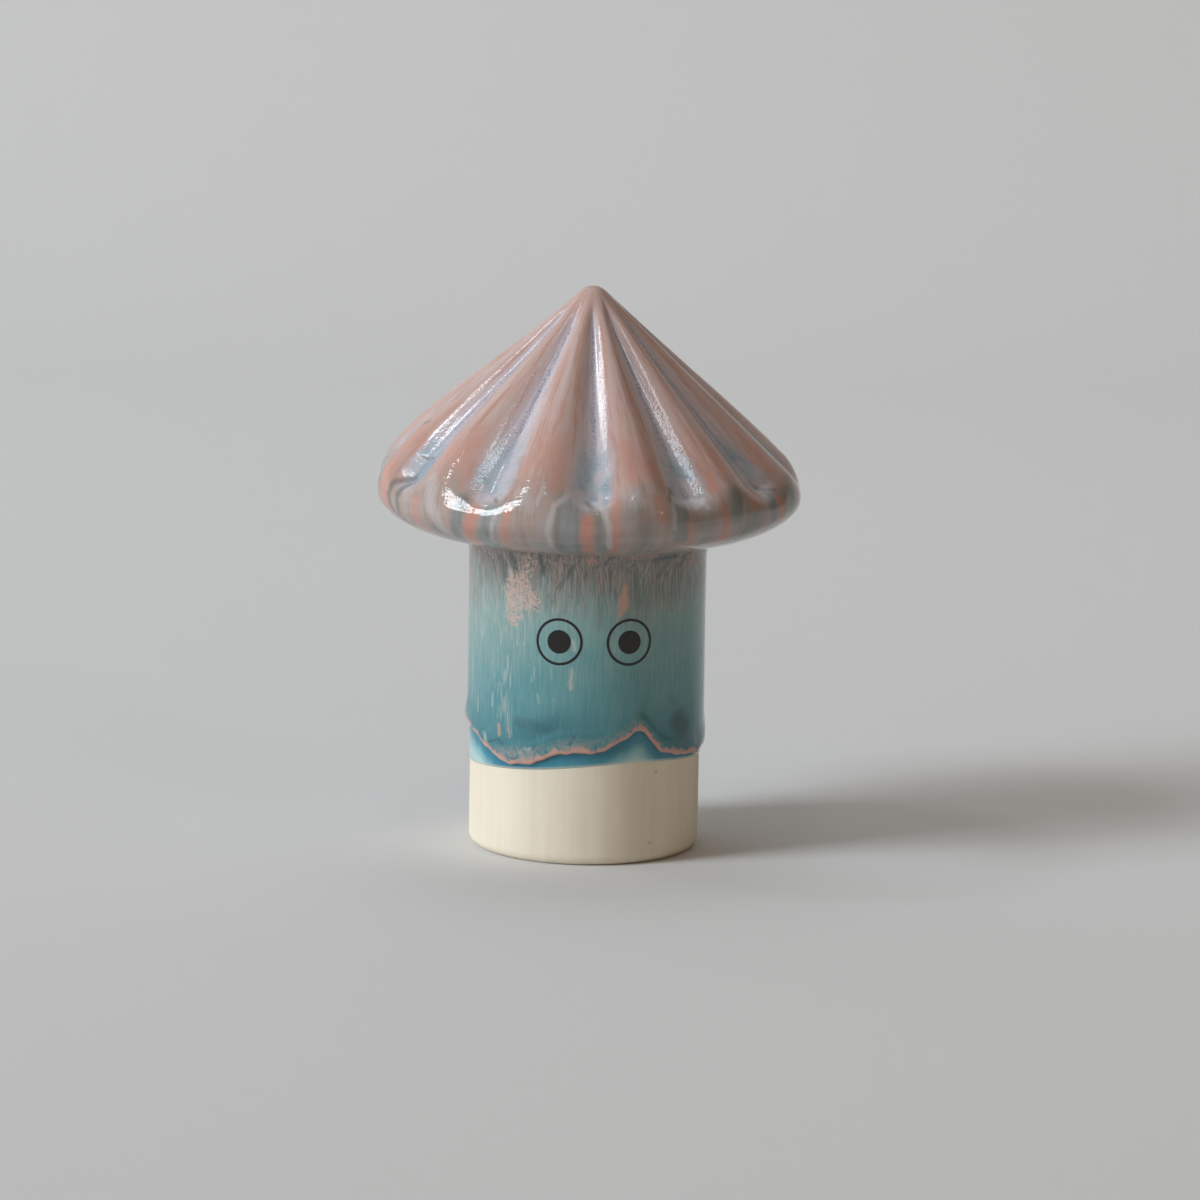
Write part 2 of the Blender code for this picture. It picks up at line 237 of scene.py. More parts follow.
pane_up = (Vector((0, 0, 1)) - WINDOW_WAY * WINDOW_WAY.z).normalized()
for i in (-1, 0, 1):
    shift = pane_up * PANE_PITCH * i
    pane_place = WINDOW_WAY * WINDOW_DISTANCE + shift
    area_light("window_pane_%d" % (i + 2), pane_place, PANE_SIZE, PANE_POWER, WINDOW_TINT, aim=shift)
area_light("skylight", SKYLIGHT_PLACE, SKYLIGHT_SIZE, SKYLIGHT_POWER, WINDOW_TINT)
area_light("ceiling_light", CEILING_PLACE, CEILING_SIZE, CEILING_POWER, WINDOW_TINT)
area_light("lamp", LAMP_PLACE, LAMP_SIZE, LAMP_POWER, LAMP_TINT)
area_light("hanging_lamp", HANGING_PLACE, HANGING_SIZE, HANGING_POWER, WINDOW_TINT,
           aim=HANGING_AIM, spread=HANGING_SPREAD)

world = bpy.data.worlds.new("warm_room")
world.use_nodes = True
room = world.node_tree
way_out = node(room, "TexCoord").outputs["Generated"]
facing = node(room, "VectorMath", {0: way_out, 1: SKY_SIDE}, operation="DOT_PRODUCT").outputs["Value"]
strength = node(room, "MapRange", {0: facing, 1: -1.0, 2: 1.0, 3: SKY_NEAR, 4: SKY_FAR})
fill(room.nodes["Background"], {"Color": SKY_TINT, "Strength": strength})
bpy.context.scene.world = world
bpy.context.scene.view_settings.view_transform = "Standard"

# %% [markdown]
# Everything on the figure is round, so each skin starts as an outline of radius and height that is turned
# about the axis. The spin tool would do for plain rounds. Here each point also moves with its azimuth,
# for the flutes and the runs, so the grid of points is worked out whole and then made into a mesh.
# Azimuth is nought at the face and grows to the right.

# %% Turning an outline into a skin
STEPS = 600
AZIMUTH = np.arange(STEPS) * 2 * np.pi / STEPS - np.pi
NO_RADIUS = 1e-9
WELD_DISTANCE = 1e-7


def smooth(low, high, value):
    t = np.clip((value - low) / (high - low), 0.0, 1.0)
    return t * t * (3 - 2 * t)


def weld(mesh):
    # Joins the copies of a pole and turns every face outward.
    bm = bmesh.new()
    bm.from_mesh(mesh)
    bmesh.ops.remove_doubles(bm, verts=bm.verts, dist=WELD_DISTANCE)
    bmesh.ops.recalc_face_normals(bm, faces=bm.faces)
    bm.to_mesh(mesh)
    bm.free()


def add_piece(name, points, faces, material, cad_node, notes=None):
    # Makes the mesh, rides it on the one body, and lets it stand for its CAD node.
    mesh = bpy.data.meshes.new(name)
    mesh.from_pydata(points.tolist(), [], faces)
    for note, values in (notes or {}).items():
        layer = mesh.attributes.new(note, "FLOAT", "POINT")
        layer.data.foreach_set("value", np.ascontiguousarray(values, dtype=np.float32).ravel())
    weld(mesh)
    mesh.shade_smooth()
    mesh.materials.append(material)
    made = bpy.data.objects.new(name, mesh)
    bpy.context.scene.collection.objects.link(made)
    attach(made, "root")
    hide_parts(cad_node)
    print(name, "has", len(mesh.vertices), "points")
    return made


def ring_faces(rings, steps, closed):
    ring, step = np.meshgrid(np.arange(rings), np.arange(steps), indexing="ij")
    below, after = (ring + 1) % rings, (step + 1) % steps
    corners = [(ring, step), (below, step), (below, after), (ring, after)]
    quads = np.stack([row * steps + column for row, column in corners], axis=-1)
    return (quads if closed else quads[:-1]).reshape(-1, 4).tolist()


def skin(name, radius, height, material, cad_node, notes=None):
    # radius and height are grids of rings by steps. A first ring of no radius is a pole, and so is the last.
    points = np.stack([radius * np.sin(AZIMUTH), -radius * np.cos(AZIMUTH), height], axis=-1).reshape(-1, 3)
    closed = float(np.max(radius[0])) > NO_RADIUS
    grids = {note: np.broadcast_to(values, radius.shape) for note, values in (notes or {}).items()}
    return add_piece(name, points, ring_faces(*radius.shape, closed), material, cad_node, grids)


print("turning with", STEPS, "steps")

# %% [markdown]
# The bare foot is cream stoneware. It was sponged while damp and fired without glaze, so it is dull, with
# a fine tooth, faint clouds and upright streaks from the sponge, and here and there an iron speck.

# %% Cream stoneware
def stoneware(name):
    material, add, shader = new_material(name)
    place = add("TexCoord").outputs["Object"]
    cloud_size = 9 * MM
    streak_width, streak_length = 1.6 * MM, 30 * MM
    tooth = 0.22 * MM
    speck_spacing, speck_share = 7 * MM, 0.035
    cloud = add("TexNoise", {"Vector": place, "Scale": 1 / cloud_size, "Detail": 3.0})
    along = (1 / streak_width, 1 / streak_width, 1 / streak_length)
    drawn = add("VectorMath", {0: place, 1: along}, operation="MULTIPLY")
    streak = add("TexNoise", {"Vector": drawn, "Scale": 1.0, "Detail": 2.0})
    both = add("Mix", {0: 0.5, 2: cloud, 3: streak}, data_type="FLOAT")
    cream = add("ValToRGB", {"Fac": both}, stops=((0.3, "#E2D8C5"), (0.7, "#EDE4D2")))
    cells = add("TexVoronoi", {"Vector": place, "Scale": 1 / speck_spacing})
    speck = add("MapRange", {0: cells, 1: speck_share, 2: 2 * speck_share, 3: 0.3, 4: 0.0})
    specked = add("Mix", {0: speck, 6: cream, 7: "#A08768"}, data_type="RGBA")
    grain = add("TexNoise", {"Vector": place, "Scale": 1 / tooth, "Detail": 2.0})
    bump = add("Bump", {"Height": grain, "Strength": 0.25, "Distance": 0.05 * MM})
    fill(shader, {"Base Color": specked, "Normal": bump, "Roughness": 0.75, "Specular IOR Level": 0.3})
    return material


foot_clay = stoneware("bare_cream_stoneware_sponged")

# %% [markdown]
# The stalk's clay shows only below the dip line. Its bottom edge is a small round, and the vent hole
# under it stays open. An outline of a few arcs and lines, turned, is all that it needs.

# %% Clay stalk
FOOT_ROUND = 1.8 * MM
WALL = 4.3 * MM
FLOOR = 4.0 * MM
DRAIN_RADIUS = 6.0 * MM
DRAIN_EDGE = 0.6 * MM
BARE_TOP = 18.8 * MM
COVERED_SETBACK = 0.3 * MM
DRAIN_STEPS, FOOT_STEPS, CORNER_STEPS = 5, 14, 6
SIDE_ROWS = 10


def arc(centre_r, centre_z, radius, first, last, count):
    a = np.radians(np.linspace(first, last, count + 1))
    return [(centre_r + radius * math.cos(v), centre_z + radius * math.sin(v)) for v in a]


bore = CLAY_RADIUS - WALL
covered = CLAY_RADIUS - COVERED_SETBACK
outline = arc(DRAIN_RADIUS + DRAIN_EDGE, DRAIN_EDGE, DRAIN_EDGE, 180, 270, DRAIN_STEPS)
outline += arc(CLAY_RADIUS - FOOT_ROUND, FOOT_ROUND, FOOT_ROUND, -90, 0, FOOT_STEPS)
outline += [(CLAY_RADIUS, z) for z in np.linspace(2 * FOOT_ROUND, BARE_TOP, SIDE_ROWS)]
outline += [(covered, BARE_TOP + COVERED_SETBACK), (covered, stalk_high.z), (bore, stalk_high.z)]
outline += arc(bore - WALL / 2, FLOOR + WALL / 2, WALL / 2, 0, -90, CORNER_STEPS)
outline += [(DRAIN_RADIUS, FLOOR)]
stalk_line = np.array(outline)[:, :, None] * np.ones(STEPS)
skin("stalk_clay", stalk_line[:, 0], stalk_line[:, 1], foot_clay, "stalk")

# %% [markdown]
# The first coat ends at the dip line, a circle that tilts because the stalk was held at a slant in the
# bucket. The second coat is thick and ran while it melted, so its lower edge hangs in rounded tongues. A
# run follows no rule, so each line is a few places round the stalk with a height, joined and then
# softened. A few short waves make the edge uneven.

# %% Where the two coats end
# Azimuth in degrees and height in millimetres.
DIP_PLACES = (
    (-110, 14.6), (-75, 15.0), (-43, 15.9), (-31, 16.2), (-19, 16.7), (8, 17.8), (25, 18.1), (39, 17.9),
    (74, 16.8), (110, 16.0), (160, 15.0), (205, 14.4),
)
RUN_PLACES = (
    (-85, 22.1), (-74, 21.7), (-64, 20.5), (-53, 18.7), (-44, 17.2), (-35, 16.9), (-27, 17.4), (-20, 18.4),
    (-11, 19.8), (4, 19.8), (12, 20.6), (20, 22.3), (26, 23.8), (30, 23.5), (34, 21.4), (41, 19.2),
    (54, 18.3), (69, 17.7), (85, 18.6), (100, 21.0), (115, 20.2), (130, 18.4), (148, 17.0), (165, 19.5),
    (178, 20.6), (192, 19.0), (210, 20.3), (222, 18.6), (236, 16.6), (252, 19.8), (264, 21.6),
)
# How far each line is softened, in degrees.
DIP_BLUR, RUN_BLUR = 14.0, 3.0
BLUR_REACH = STEPS // 8
# Waves round the stalk, their height and their start.
EDGE_WAVES = ((23, 0.10 * MM, 2.1), (37, 0.07 * MM, 4.0), (61, 0.04 * MM, 1.0))


def angle_from(degrees):
    return (np.degrees(AZIMUTH) - degrees + 180.0) % 360.0 - 180.0


def line_round(places, blur):
    at, heights = np.array(places, dtype=float).T
    line = np.interp(np.degrees(AZIMUTH), at, heights * MM, period=360.0)
    reach = np.arange(-BLUR_REACH, BLUR_REACH + 1)
    weights = np.exp(-(reach * 360.0 / STEPS / blur) ** 2)
    return sum(weight * np.roll(line, shift) for weight, shift in zip(weights / weights.sum(), reach))


dip_line = line_round(DIP_PLACES, DIP_BLUR)
run_line = line_round(RUN_PLACES, RUN_BLUR)
for waves, size, start in EDGE_WAVES:
    run_line += size * np.sin(waves * AZIMUTH + start)
print("run edge from", round(run_line.min() / MM, 1), "to", round(run_line.max() / MM, 1), "mm")

# %% [markdown]
# The thin first coat is clear turquoise over cream clay. It was dipped and melted to a smooth glassy
# skin, so it is glossy. It is deep blue just under the run edge, partly where melted glaze pooled and
# partly as painted shade under the rolled edge, and pales towards the dip line, where it is thinnest. Two
# attributes carry those distances, in millimetres, to the shader, because only the mesh knows where the
# two wavy lines are.

# %% Thin turquoise glaze
def thin_glaze(name):
    material, add, shader = new_material(name)
    below = add("Attribute", attribute_name="below_run")
    above = add("Attribute", attribute_name="above_dip")
    place = add("TexCoord").outputs["Object"]
    wisp_size = 3.5 * MM
    # In millimetres, as the attributes are.
    wisp_shift, pool_and_shade_start, pool_and_shade_end, thin_edge = 1.4, 1.2, 5.5, 0.55
    wisp = add("TexNoise", {"Vector": place, "Scale": 1 / wisp_size, "Detail": 3.0})
    shaken = add("Math", {0: wisp, 1: wisp_shift, 2: below}, operation="MULTIPLY_ADD")
    # Deep blue near the run edge: pooled glaze, and partly painted shade under the rolled edge.
    depth = add("MapRange", {0: shaken, 1: pool_and_shade_start, 2: pool_and_shade_end})
    pool = add("ValToRGB", {"Fac": depth}, stops=(
        (0.0, "#2F7890"), (0.3, "#43899D"), (0.62, "#7FB2BA"), (1.0, "#AECFCD")))
    thin = add("MapRange", {0: above, 1: 0.0, 2: thin_edge, 3: 0.75, 4: 0.0})
    edge = add("Mix", {0: thin, 6: pool, 7: "#D8D9C8"}, data_type="RGBA")
    fill(shader, {"Base Color": edge, "Roughness": 0.12, "IOR": 1.5})
    return material


base_glaze = thin_glaze("thin_turquoise_glaze_dipped")

# %% [markdown]
# The first coat is a band round the stalk, as thin as paint, from the dip line up to well under the
# second coat. The whole stalk could be painted in one material with a mask. A band of its own has a real
# edge, which feathers out onto the clay and catches the light.

# %% First coat
BAND_TOP = 30.0 * MM
BAND_ROWS = 40
FEATHER = 0.25 * MM
SKIN_GAP = 0.02 * MM

share = np.linspace(0.0, 1.0, BAND_ROWS)[:, None]
band_height = dip_line + (BAND_TOP - dip_line) * share
feather = 1 - np.exp(-(band_height - dip_line) / FEATHER)
band_radius = CLAY_RADIUS + SKIN_GAP + (BASE_COAT_RADIUS - CLAY_RADIUS) * feather
level = np.ones((1, STEPS))
inside = (CLAY_RADIUS - COVERED_SETBACK / 2) * level
coat_radius = np.vstack([band_radius, BASE_COAT_RADIUS * level, inside, inside, inside])
coat_top = base_high.z * level
coat_height = np.vstack([band_height, coat_top, coat_top, BAND_TOP * level, dip_line[None]])
notes = {"below_run": (run_line - coat_height) / MM, "above_dip": (coat_height - dip_line) / MM}
skin("stalk_first_coat", coat_radius, coat_height, base_glaze, "stalk_base_glaze", notes)

# %% [markdown]
# The second coat is a run glaze: turquoise, with a grey-pink glaze that ran down through it from the cap
# as both melted. A painted image could show that. Here each layer is a mask from noise, laid over the one
# before in the order in which the glazes lie, so that it stays sharp from near and goes all the way
# round. The patterns that several layers share come first: noise drawn out along the flow for threads and
# hairs, and even noise for curds, clouds and swirls.

# %% Turquoise run glaze: patterns
WANDER_SIZE, WANDER_SHIFT = 5.0 * MM, 1.0 * MM
THREAD_WIDTH, THREAD_LENGTH = 1.3 * MM, 16.0 * MM
HAIR_WIDTH, HAIR_LENGTH = 0.3 * MM, 8.0 * MM
CURD_SIZE = 0.52 * MM
RUN_CLOUD_SIZE = 7.0 * MM
SWIRL_SIZE = 2.4 * MM

run_glaze, add, run_shader = new_material("turquoise_run_glaze_poured")
place = add("TexCoord").outputs["Object"]
height = add("SeparateXYZ", {0: place}).outputs["Z"]
# Where the mesh says that each kind of mark is.
edge_at, blush_at, veil_and_sheen_at, belt_at, pool_at, drips_at, tears_at, stains_at = (
    add("Attribute", attribute_name=kind)
    for kind in ("above_edge", "blush", "veil_and_sheen", "belt", "pool", "drips", "tears", "stains"))
wander = add("TexNoise", {"Vector": place, "Scale": 1 / WANDER_SIZE, "Detail": 1.0})
sideways = {0: wander.outputs["Color"], 1: (WANDER_SHIFT,) * 3, 2: place}
bent = add("VectorMath", sideways, operation="MULTIPLY_ADD")
to_thread = (1 / THREAD_WIDTH, 1 / THREAD_WIDTH, 1 / THREAD_LENGTH)
to_hair = (1 / HAIR_WIDTH, 1 / HAIR_WIDTH, 1 / HAIR_LENGTH)
thread_way = add("VectorMath", {0: bent, 1: to_thread}, operation="MULTIPLY")
hair_way = add("VectorMath", {0: bent, 1: to_hair}, operation="MULTIPLY")
threads = add("TexNoise", {"Vector": thread_way, "Scale": 1.0, "Detail": 2.0})
hair = add("TexNoise", {"Vector": hair_way, "Scale": 1.0, "Detail": 3.0})
curds = add("TexNoise", {"Vector": place, "Scale": 1 / CURD_SIZE, "Detail": 4.0, "Roughness": 0.65})
clouds = add("TexNoise", {"Vector": place, "Scale": 1 / RUN_CLOUD_SIZE, "Detail": 2.0})
swirls = add("TexNoise", {"Vector": place, "Scale": 1 / SWIRL_SIZE, "Detail": 3.0, "Distortion": 2.0})
print("patterns:", len(run_glaze.node_tree.nodes), "nodes so far")

# %% [markdown]
# The ground is turquoise, darker towards the foot as painted reflection of the shaded floor close by,
# with fine darker hairs along the flow and dark pools above some of the tongues. A colour ramp over the
# height gives the change, and clouds keep it from looking ruled.

# %% Run glaze: turquoise ground
DEEP_HEIGHT, PALE_HEIGHT = 20 * MM, 50 * MM

# Darker low down: painted reflection of the shaded floor near the figure.
risen = add("MapRange", {0: height, 1: DEEP_HEIGHT, 2: PALE_HEIGHT})
cloudy = add("Math", {0: clouds, 1: 0.4, 2: risen}, operation="MULTIPLY_ADD")
teal = add("ValToRGB", {"Fac": cloudy}, stops=((0.2, "#3F7C87"), (0.55, "#5F959A"), (1.0, "#7FA3A1")))
dark = add("MapRange", {0: hair, 1: 0.36, 2: 0.5, 3: 0.18, 4: 0.0})
haired = add("Mix", {0: dark, 6: teal, 7: "#456F76"}, data_type="RGBA")
pooled = add("Mix", {0: pool_at, 6: haired, 7: "#2C6673"}, data_type="RGBA")
print("ground:", len(run_glaze.node_tree.nodes), "nodes so far")

# %% [markdown]
# A curtain of milky threads hangs over the ground in drifts. Cell borders would look like a net. Here
# each thread is a level line of the drawn-out noise: its value is folded up and down like a fan, and a
# thread lies wherever a fold comes to nought.

# %% Run glaze: milky threads
THREAD_LEVELS = 9.0
FOLD_HEIGHT = 0.5

levels = add("Math", {0: threads, 1: THREAD_LEVELS}, operation="MULTIPLY")
folds = add("Math", {0: levels, 1: FOLD_HEIGHT}, operation="PINGPONG")
lines = add("MapRange", {0: folds, 1: 0.0, 2: 0.35, 3: 0.45, 4: 0.0})
drifts = add("MapRange", {0: hair, 1: 0.40, 2: 0.60, 3: 0.15, 4: 1.0})
broken = add("Math", {0: lines, 1: drifts}, operation="MULTIPLY")
milky = add("Math", {0: broken, 1: veil_and_sheen_at}, operation="MULTIPLY")
misty = add("MapRange", {0: veil_and_sheen_at, 1: 0.3, 2: 1.0, 3: 0.0, 4: 0.35})
veiled = add("Mix", {0: misty, 6: pooled, 7: "#9DA8A3"}, data_type="RGBA")
threaded = add("Mix", {0: milky, 6: veiled, 7: "#BCBAB2"}, data_type="RGBA")
dashes = add("MapRange", {0: hair, 1: 0.54, 2: 0.70, 3: 0.0, 4: 0.4})
dashed = add("Math", {0: dashes, 1: veil_and_sheen_at}, operation="MULTIPLY")
lined = add("Mix", {0: dashed, 6: threaded, 7: "#BDBCB4"}, data_type="RGBA")
print("threads:", len(run_glaze.node_tree.nodes), "nodes so far")

# %% [markdown]
# Under the cap the pink glaze is thick and turns brown grey, and that brown also paints the shade which
# the cap casts there. It frays downward along the threads, with dark strands between them. The height
# decides how much of it there is, and clouds and threads break its lower end.

# %% Run glaze: brown fringe and painted cap shade
FRINGE_LOW, FRINGE_HIGH = 39 * MM, 55 * MM

# The brown is thick glaze, and near the cap it is also painted shade from the cap above.
top = add("MapRange", {0: height, 1: FRINGE_LOW, 2: FRINGE_HIGH, 3: -0.55, 4: 0.65})
uneven = add("Math", {0: clouds, 1: 0.9, 2: top}, operation="MULTIPLY_ADD")
fringe = add("Math", {0: threads, 1: 0.5, 2: uneven}, operation="MULTIPLY_ADD")
brown_and_cap_shade = add("MapRange", {0: fringe, 1: 0.40, 2: 1.15, 3: 0.0, 4: 0.9})
brown = add("ValToRGB", {"Fac": hair}, stops=((0.35, "#776F6B"), (0.5, "#93847D"), (0.66, "#AE9990")))
browned_and_shaded = add("Mix", {0: brown_and_cap_shade, 6: lined, 7: brown}, data_type="RGBA")
crests = add("MapRange", {0: folds, 1: 0.30, 2: 0.48, 3: 0.0, 4: 0.75})
strands = add("Math", {0: crests, 1: brown_and_cap_shade}, operation="MULTIPLY")
stranded = add("Mix", {0: strands, 6: browned_and_shaded, 7: "#4E5F5F"}, data_type="RGBA")
print("fringe:", len(run_glaze.node_tree.nodes), "nodes so far")

# %% [markdown]
# Dark stains and milky drips lie along the flow. The mesh says where each of them is, as a soft spot. The
# hairs are added to that spot before it is cut off at a level, so its border is torn along the flow as on
# melted glaze.

# %% Run glaze: stains and drips
stained_edge = add("Math", {0: hair, 1: 0.7, 2: stains_at}, operation="MULTIPLY_ADD")
stain = add("MapRange", {0: stained_edge, 1: 0.5, 2: 1.25, 3: 0.0, 4: 0.8})
stained = add("Mix", {0: stain, 6: stranded, 7: "#2F5154"}, data_type="RGBA")
ragged = add("Math", {0: hair, 1: 1.6, 2: drips_at}, operation="MULTIPLY_ADD")
dripped = add("MapRange", {0: ragged, 1: 1.05, 2: 1.95, 3: 0.0, 4: 0.75})
milk = add("ValToRGB", {"Fac": clouds}, stops=((0.4, "#B4C0BB"), (0.6, "#C4BBB3")))
milked = add("Mix", {0: dripped, 6: stained, 7: milk}, data_type="RGBA")
print("stains:", len(run_glaze.node_tree.nodes), "nodes so far")

# %% [markdown]
# Where the pink stayed thick it curdled to crumbs, with specks of the glaze below between them, and a few
# single salmon tears ran off. Fine noise that is added to a soft mark and cut off at a level gives crumbs
# that thin out at its border.

# %% Run glaze: curds and tears
curdled = add("Math", {0: curds, 1: 3.0, 2: blush_at}, operation="MULTIPLY_ADD")
patch = add("MapRange", {0: curdled, 1: 2.25, 2: 2.75, 3: 0.0, 4: 0.8})
holes = add("MapRange", {0: curds, 1: 0.38, 2: 0.50, 3: 0.9, 4: 0.0})
pierced = add("Math", {0: patch, 1: holes}, operation="SUBTRACT", use_clamp=True)
patched = add("Mix", {0: pierced, 6: milked, 7: "#CBAEA3"}, data_type="RGBA")
torn = add("Math", {0: curds, 1: 0.7, 2: tears_at}, operation="MULTIPLY_ADD")
tear = add("MapRange", {0: torn, 1: 0.55, 2: 1.2, 3: 0.0, 4: 0.8})
wept = add("Mix", {0: tear, 6: patched, 7: "#C99C8C"}, data_type="RGBA")
print("curds:", len(run_glaze.node_tree.nodes), "nodes so far")

# %% [markdown]
# Above the rolled edge the two glazes swirl together in a belt, and on the edge the pink gathered to a
# salmon line. Both follow the distance from the edge. The coat melted to thick glass, so it is glossier
# than the first one, with a faint ripple along the flow.

# %% Run glaze: belt, edge and gloss
swirl = add("ValToRGB", {"Fac": swirls}, stops=(
    (0.34, "#4C7980"), (0.46, "#7E908F"), (0.54, "#A39891"), (0.62, "#7F9090"), (0.70, "#5B8287")))
shed = add("Math", {0: clouds, 1: 0.8, 2: belt_at}, operation="MULTIPLY_ADD")
belt_share = add("MapRange", {0: shed, 1: 0.75, 2: 1.15, 3: 0.0, 4: 0.75})
belted = add("Mix", {0: belt_share, 6: wept, 7: swirl}, data_type="RGBA")
edge_shaken = add("Math", {0: swirls, 1: -2.4, 2: edge_at}, operation="MULTIPLY_ADD")
salmon_line = add("MapRange", {0: edge_shaken, 1: -0.60, 2: 0.15, 3: 0.95, 4: 0.0})
edged = add("Mix", {0: salmon_line, 6: belted, 7: "#C69A8C"}, data_type="RGBA")
ripple = add("Bump", {"Height": hair, "Strength": 0.05, "Distance": 0.1 * MM})
fill(run_shader, {"Base Color": edged, "Normal": ripple, "Roughness": 0.09, "IOR": 1.52})
print("run glaze:", len(run_glaze.node_tree.nodes), "nodes in all")

# %% [markdown]
# Runs, drips and flames in the glaze are marks along short lines. Each mark is a half width, an amount
# and a line of places, and its strength falls off softly with the distance from that line. A few waves
# make the lines wander sideways, as glaze does when it melts. On the sides and back, which the picture
# does not show, marks of the same kinds are spread by a seeded random choice.

# %% Marks along lines
MARK_CORE, MARK_EDGE = 0.1, 1.8
# Size of a wave in millimetres, waves per millimetre along the flow and waves round.
MARK_WAVES = ((0.14, 0.5, 3), (0.08, 1.4, -7))
BACK_FROM, BACK_TO = 78.0, 278.0
# How far a mark strays from its even place and leans from upright, in degrees.
STRAY, LEAN = 4.0, 1.0
# Its length, as a share of the reach that is asked for.
LENGTH_SHARE = (0.5, 1.2)
MARK_SEED = 12
chance = np.random.default_rng(MARK_SEED)


def scattered(count, widths, amounts, starts, reach):
    made = []
    for middle in np.linspace(BACK_FROM, BACK_TO, count):
        turn = middle + chance.uniform(-STRAY, STRAY)
        first = chance.uniform(*starts)
        end = (turn + chance.uniform(-LEAN, LEAN), first + reach * chance.uniform(*LENGTH_SHARE))
        made.append((chance.uniform(*widths), chance.uniform(*amounts), (turn, first), end))
    return made


def marks(table, radius, along):
    # radius and along are grids of rings by steps. Places are azimuths in degrees and millimetres along.
    across_one, down = radius / MM, along / MM
    total = np.zeros_like(radius)
    wander = sum(size * np.sin(pitch * down + turns * AZIMUTH) for size, pitch, turns in MARK_WAVES)
    for half_width, amount, *places in table:
        nearest = np.full_like(radius, np.inf)
        for (turn, start), (next_turn, end) in zip(places, places[1:]):
            x, y = np.radians(angle_from(turn)) * across_one + wander, down - start
            dx, dy = math.radians(next_turn - turn) * across_one, end - start
            t = np.clip((x * dx + y * dy) / (dx * dx + dy * dy), 0.0, 1.0)
            nearest = np.minimum(nearest, np.hypot(x - t * dx, y - t * dy))
        total = np.maximum(total, amount * (1 - smooth(MARK_CORE, MARK_EDGE, nearest / half_width)))
    return total


print("marks ready")

# %% [markdown]
# The second coat flares where it meets the cap and ends below in a rolled bead with a round lip. Its
# surface swells a little here and there, but not under the eyes. A displaced cylinder would need very
# many faces for so fine a lip. In a worked-out grid the rows can lie close together at the edge and wide
# apart above.

# %% Second coat: form
FLARE_LENGTH = 5.0 * MM
FLARE_POWER = 1.6
RUN_TOP = SEAT_HEIGHT + 0.7 * MM
BEAD = 0.35 * MM
BEAD_PEAK = 1.1 * MM
BEAD_FADE = 2.2 * MM
EDGE_ROUND = 0.45 * MM
SWELL = 0.06 * MM
SWELL_PITCH = 9.0 * MM
SWELL_WAVES, SWELL_TURN = 3, 1.0
SWELL_RISE = 6.0 * MM
# Middle of the face and how far it reaches round, in degrees.
FACE_SIDE = 4.0
FACE_CALM, FACE_PAST = 32.0, 48.0
BACK_SETBACK = 0.1 * MM
BACK_LIFT = 0.3 * MM
ROWS = 150
ROW_CROWDING = 1.5

grow = np.linspace(0.0, 1.0, ROWS)[:, None] ** ROW_CROWDING
run_height = run_line + (RUN_TOP - run_line) * grow
rise = run_height - run_line
bead = BEAD * np.exp(-((rise - BEAD_PEAK) / BEAD_FADE) ** 2)
lip = np.sqrt(1 - (1 - np.clip(rise / EDGE_ROUND, 0, 1)) ** 2)
flare = FLARE * smooth(RUN_TOP - FLARE_LENGTH, RUN_TOP, run_height) ** FLARE_POWER
under = BASE_COAT_RADIUS + SKIN_GAP
swell = SWELL * np.sin(SWELL_WAVES * AZIMUTH + SWELL_TURN + run_height / SWELL_PITCH)
swell = swell * smooth(0, 1, rise / SWELL_RISE)
swell = swell * smooth(FACE_CALM, FACE_PAST, np.abs(angle_from(FACE_SIDE)))
outer = under + (RUN_RADIUS + bead - under) * lip + flare + swell
behind = (under - BACK_SETBACK) * level
coat_radius = np.vstack([outer, behind, behind])
coat_height = np.vstack([run_height, RUN_TOP * level, run_line[None] + BACK_LIFT])
above = coat_height - run_line
print("second coat from", round(outer.min() / MM, 2), "to", round(outer.max() / MM, 2), "mm radius")

# %% [markdown]
# Some marks are soft patches: the blush of thick pink curds, the milky veil, the belt of swirls above the
# edge and the dark pools. The veil is heaviest on the lit left, where it also paints the pale sheen along
# that edge. They could be painted on by hand. A patch that is a place, a size and an amount can be moved
# by changing a number, and it goes with the mesh as an attribute.

# %% Second coat: soft patches
# Azimuth in degrees, height, half width in degrees, half length and amount.
BLUSHES = (
    (-38, 46.4 * MM, 6.5, 3.6 * MM, 1.5),
    (-35, 49.0 * MM, 5.5, 2.0 * MM, 1.1),
    (-26, 45.8 * MM, 5, 2.4 * MM, 1.15),
    (-31, 47.2 * MM, 6, 2.0 * MM, 0.9),
    (-28.5, 52.6 * MM, 6, 2.6 * MM, 1.1),
    (-37, 42.6 * MM, 5, 1.8 * MM, 1.2),
    (120, 46.0 * MM, 12, 5.0 * MM, 1.0),
    (165, 38.0 * MM, 4, 5.0 * MM, 0.8),
    (205, 44.0 * MM, 8, 6.0 * MM, 1.0),
    (262, 47.0 * MM, 10, 4.0 * MM, 1.0),
)
# Azimuth in degrees, half width in degrees and amount of the milky veil, and of the belt of swirls. The
# first veil lies on the lit left, where it is partly painted sheen.
VEILS_AND_SHEEN = ((-64, 24, 0.75), (-30, 20, 0.30), (35, 18, 0.20), (130, 40, 0.4), (215, 30, 0.5))
BELTS = ((-36, 20, 0.75), (-5, 18, 0.70), (24, 10, 0.60), (120, 30, 0.6), (200, 35, 0.7))
VEIL_EVERYWHERE = 0.22
VEIL_LOW, VEIL_HIGH = 24.0 * MM, 46.0 * MM
VEIL_LEAST = 0.25
BELT_FULL, BELT_END = 1.5 * MM, 5.0 * MM
